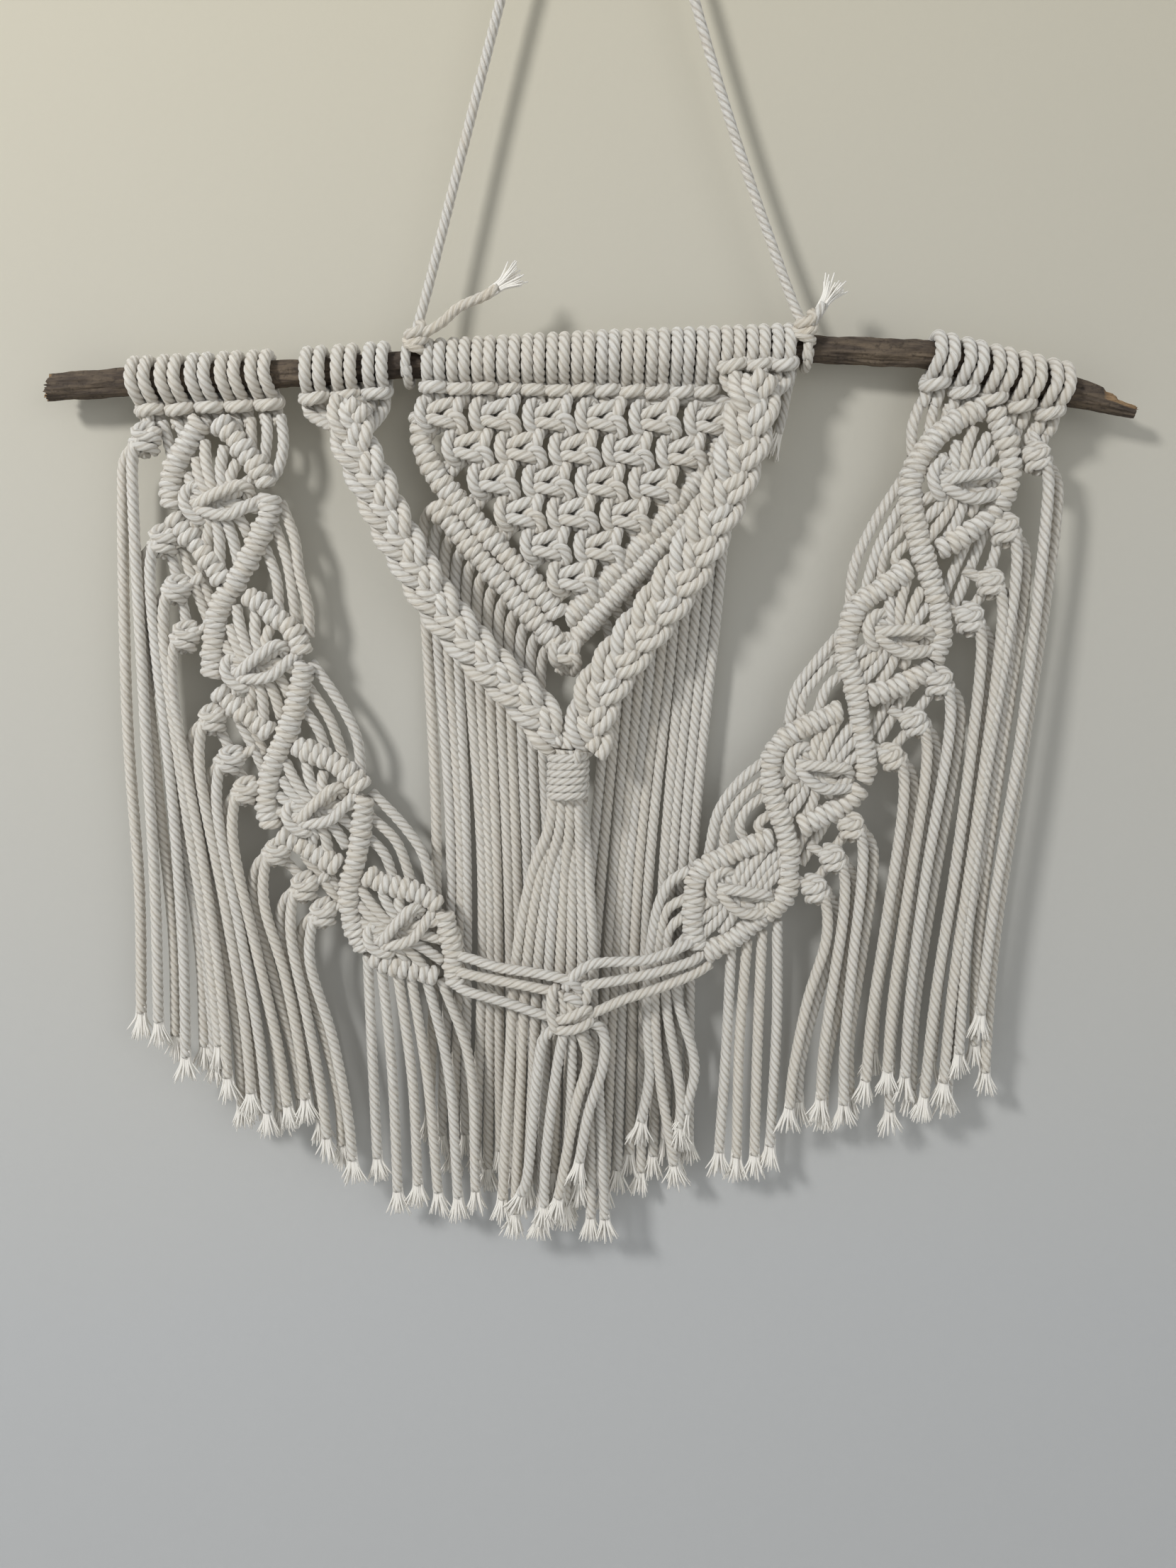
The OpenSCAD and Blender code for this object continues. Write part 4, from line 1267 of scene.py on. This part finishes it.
            ends.fray(line[-1], line[-1] - line[-6])
        low.make(f"{word}_bottom_fringe_cords", "strips", [f"{word}_bottom_fringe"])
        ends.make(f"{word}_fringe_ends", "strips")


class HANGING_OT_joining(bpy.types.Operator):
    """The cords that join the two strips, their knot, and the fringe below it"""

    bl_idname = "hanging.joining"
    bl_label = "Joining cords"

    def execute(self, context):
        for seed, word in enumerate(("left", "right")):
            skein = Skein(280 + seed)
            for points in JOINING[word]:
                skein.cord(points, 1.95)
            skein.make(f"joining_cords_{word}_laid", "strips", [f"joining_cords_{word}"])
        y = JOINING_Y
        knot = Skein(283)
        for path in (
            [(-4, y + 1, -446), (-5.6, y - 1.4, -447), (-6.0, y - 2.6, -451), (-5.8, y - 2.4, -456),
             (-4.6, y - 2.2, -461), (-2.5, y - 0.4, -463)],
            [(5, y + 1, -444), (7.2, y - 0.8, -446), (7.0, y - 1.2, -450), (5.4, y - 0.6, -452),
             (2, y + 1.5, -451)],
            [(-4.4, y - 1.0, -457.5), (-2, y - 2.6, -457.8), (3, y - 3.2, -455.6), (7, y - 2.4, -453.5),
             (8.6, y, -455)],
            [(-5.0, y - 0.6, -461.8), (-2, y - 2.8, -462.0), (3, y - 3.2, -461.2), (7, y - 2.6, -459.6),
             (9.2, y - 0.6, -458)],
            [(-3, y, -447), (-1.6, y - 0.6, -452), (-1.4, y - 0.4, -462)],
            [(1, y, -447), (1.4, y - 0.8, -452), (1.8, y - 0.4, -462)],
            [(4.4, y, -446), (4.2, y - 0.5, -452), (4.4, y - 0.4, -462)],
            [(-1, y - 1.6, -449), (2.6, y - 2.4, -449.6), (5, y - 1.6, -452)],
        ):
            knot.cord(path, 1.95)
        knot.make("joining_knot_cords", "strips", ["joining_knot"])
        fringe = Skein(284)
        for points in (
            [(-4.6, y - 0.5, -462), (-8.5, y, -466), (-10.6, y, -478), (-14.5, y + 2, -526),
             (-16.5, y + 3, -532)],
            [(-1, y - 1, -463), (-3.4, y, -478), (-7, y + 1, -515), (-7.5, y + 2, -536)],
            [(2, y + 1, -463), (2.2, y + 3, -491), (1, y + 4, -518), (-1, y + 5, -530)],
            [(5, y - 1, -463), (8.2, y, -474), (4.4, y, -492), (-1.8, y + 1, -532)],
            [(8.4, y - 0.6, -459), (12.6, y, -461.5), (14.6, y, -467), (13.8, y, -478), (9, y, -496),
             (6, y, -516)],
            [(6, y + 2, -463), (12, y + 4, -482), (13.5, y + 5, -500), (16.5, y + 6, -543)],
        ):
            line = fringe.cord(points)
            fringe.fray(line[-1], line[-1] - line[-6])
        fringe.make("joining_fringe_cords", "strips", ["joining_fringe"])
        return {"FINISHED"}


# ---------------------------------------------------------------- stage


# Places in metres, angles in degrees
CAMERA_PLACE = (0.0058, -0.4355, -0.2937)
CAMERA_TILT = 80
CAMERA_ROLL = 1.37
LAMP_TARGET = (0, 0, -0.33)
PLANE_SIDE = 3


class HANGING_OT_stage(bpy.types.Operator):
    """The wall, floor, soft light and camera"""

    bl_idname = "hanging.stage"
    bl_label = "Stage"

    def execute(self, context):
        self.camera(context)
        self.plane("backdrop", (0, WALL_Y * MM, -0.1), (math.pi / 2, 0, 0), "Wall paint")
        self.plane("floor", (0, WALL_Y * MM - PLANE_SIDE / 2, -0.9), (0, 0, 0), "Floor paint")
        power = settings().key_power
        self.lamp("key_light", (-0.80, -0.85, 0.30), 0.22, power)
        self.lamp("fill_light", (0.9, -1.3, 0.1), 1.2, power * 0.30)
        self.lamp("back_light", (0.5, 1.0, 0.2), 0.9, power * 0.35)
        world = bpy.data.worlds.new("Room light")
        world.use_nodes = True
        world.node_tree.nodes["Background"].inputs["Color"].default_value = (0.92, 0.96, 1.0, 1)
        world.node_tree.nodes["Background"].inputs["Strength"].default_value = 0.52
        context.scene.world = world
        context.scene.view_settings.view_transform = "Standard"
        return {"FINISHED"}

    @staticmethod
    def camera(context):
        data = bpy.data.cameras.new("Camera")
        data.lens = settings().lens
        data.sensor_width = 36
        data.clip_start = 0.01
        camera = bpy.data.objects.new("Camera", data)
        context.scene.collection.objects.link(camera)
        tilt = Matrix.Rotation(math.radians(CAMERA_TILT), 4, "X")
        roll = Matrix.Rotation(math.radians(CAMERA_ROLL), 4, "Z")
        camera.matrix_world = Matrix.Translation(CAMERA_PLACE) @ tilt @ roll
        context.scene.camera = camera

    @staticmethod
    def plane(name, place, turn, finish):
        bpy.ops.object.select_all(action="DESELECT")
        bpy.ops.mesh.primitive_plane_add(size=PLANE_SIDE, location=place, rotation=turn)
        plane = bpy.context.object
        plane.name = name
        bpy.ops.object.transform_apply(location=True, rotation=True, scale=True)
        plane.data.materials.append(finishes()[finish])
        plane.visible_shadow = False

    @staticmethod
    def lamp(name, place, size, power):
        """A round soft lamp that points at the middle of the hanging."""
        data = bpy.data.lights.new(name, "AREA")
        data.shape = "DISK"
        data.size = size
        data.energy = power
        lamp = bpy.data.objects.new(name, data)
        bpy.context.scene.collection.objects.link(lamp)
        lamp.location = place
        aim = Vector(LAMP_TARGET) - Vector(place)
        lamp.rotation_euler = aim.to_track_quat("-Z", "Y").to_euler()


class HANGING_PT_panel(bpy.types.Panel):
    """Lists the steps that make the hanging"""

    bl_idname = "HANGING_PT_panel"
    bl_label = "Knotted wall hanging"
    bl_space_type = "VIEW_3D"
    bl_region_type = "UI"
    bl_category = "Hanging"

    def draw(self, context):
        for name in HangingSettings.__annotations__:
            self.layout.prop(context.scene.hanging, name)
        for step in STEPS:
            self.layout.operator(step.bl_idname)


STEPS = (
    HANGING_OT_stage,
    HANGING_OT_hanger,
    HANGING_OT_centre_fringe,
    HANGING_OT_braids,
    HANGING_OT_stick,
    HANGING_OT_larks_heads,
    HANGING_OT_net,
    HANGING_OT_net_ridges,
    HANGING_OT_strips,
    HANGING_OT_joining,
)
CLASSES = (HangingSettings, *STEPS, HANGING_PT_panel)


def register():
    for made in CLASSES:
        bpy.utils.register_class(made)
    bpy.types.Scene.hanging = bpy.props.PointerProperty(type=HangingSettings)


def unregister():
    del bpy.types.Scene.hanging
    for made in reversed(CLASSES):
        bpy.utils.unregister_class(made)


def main():
    register()
    for step in STEPS:
        group, name = step.bl_idname.split(".")
        getattr(getattr(bpy.ops, group), name)()


if __name__ == "__main__":
    main()
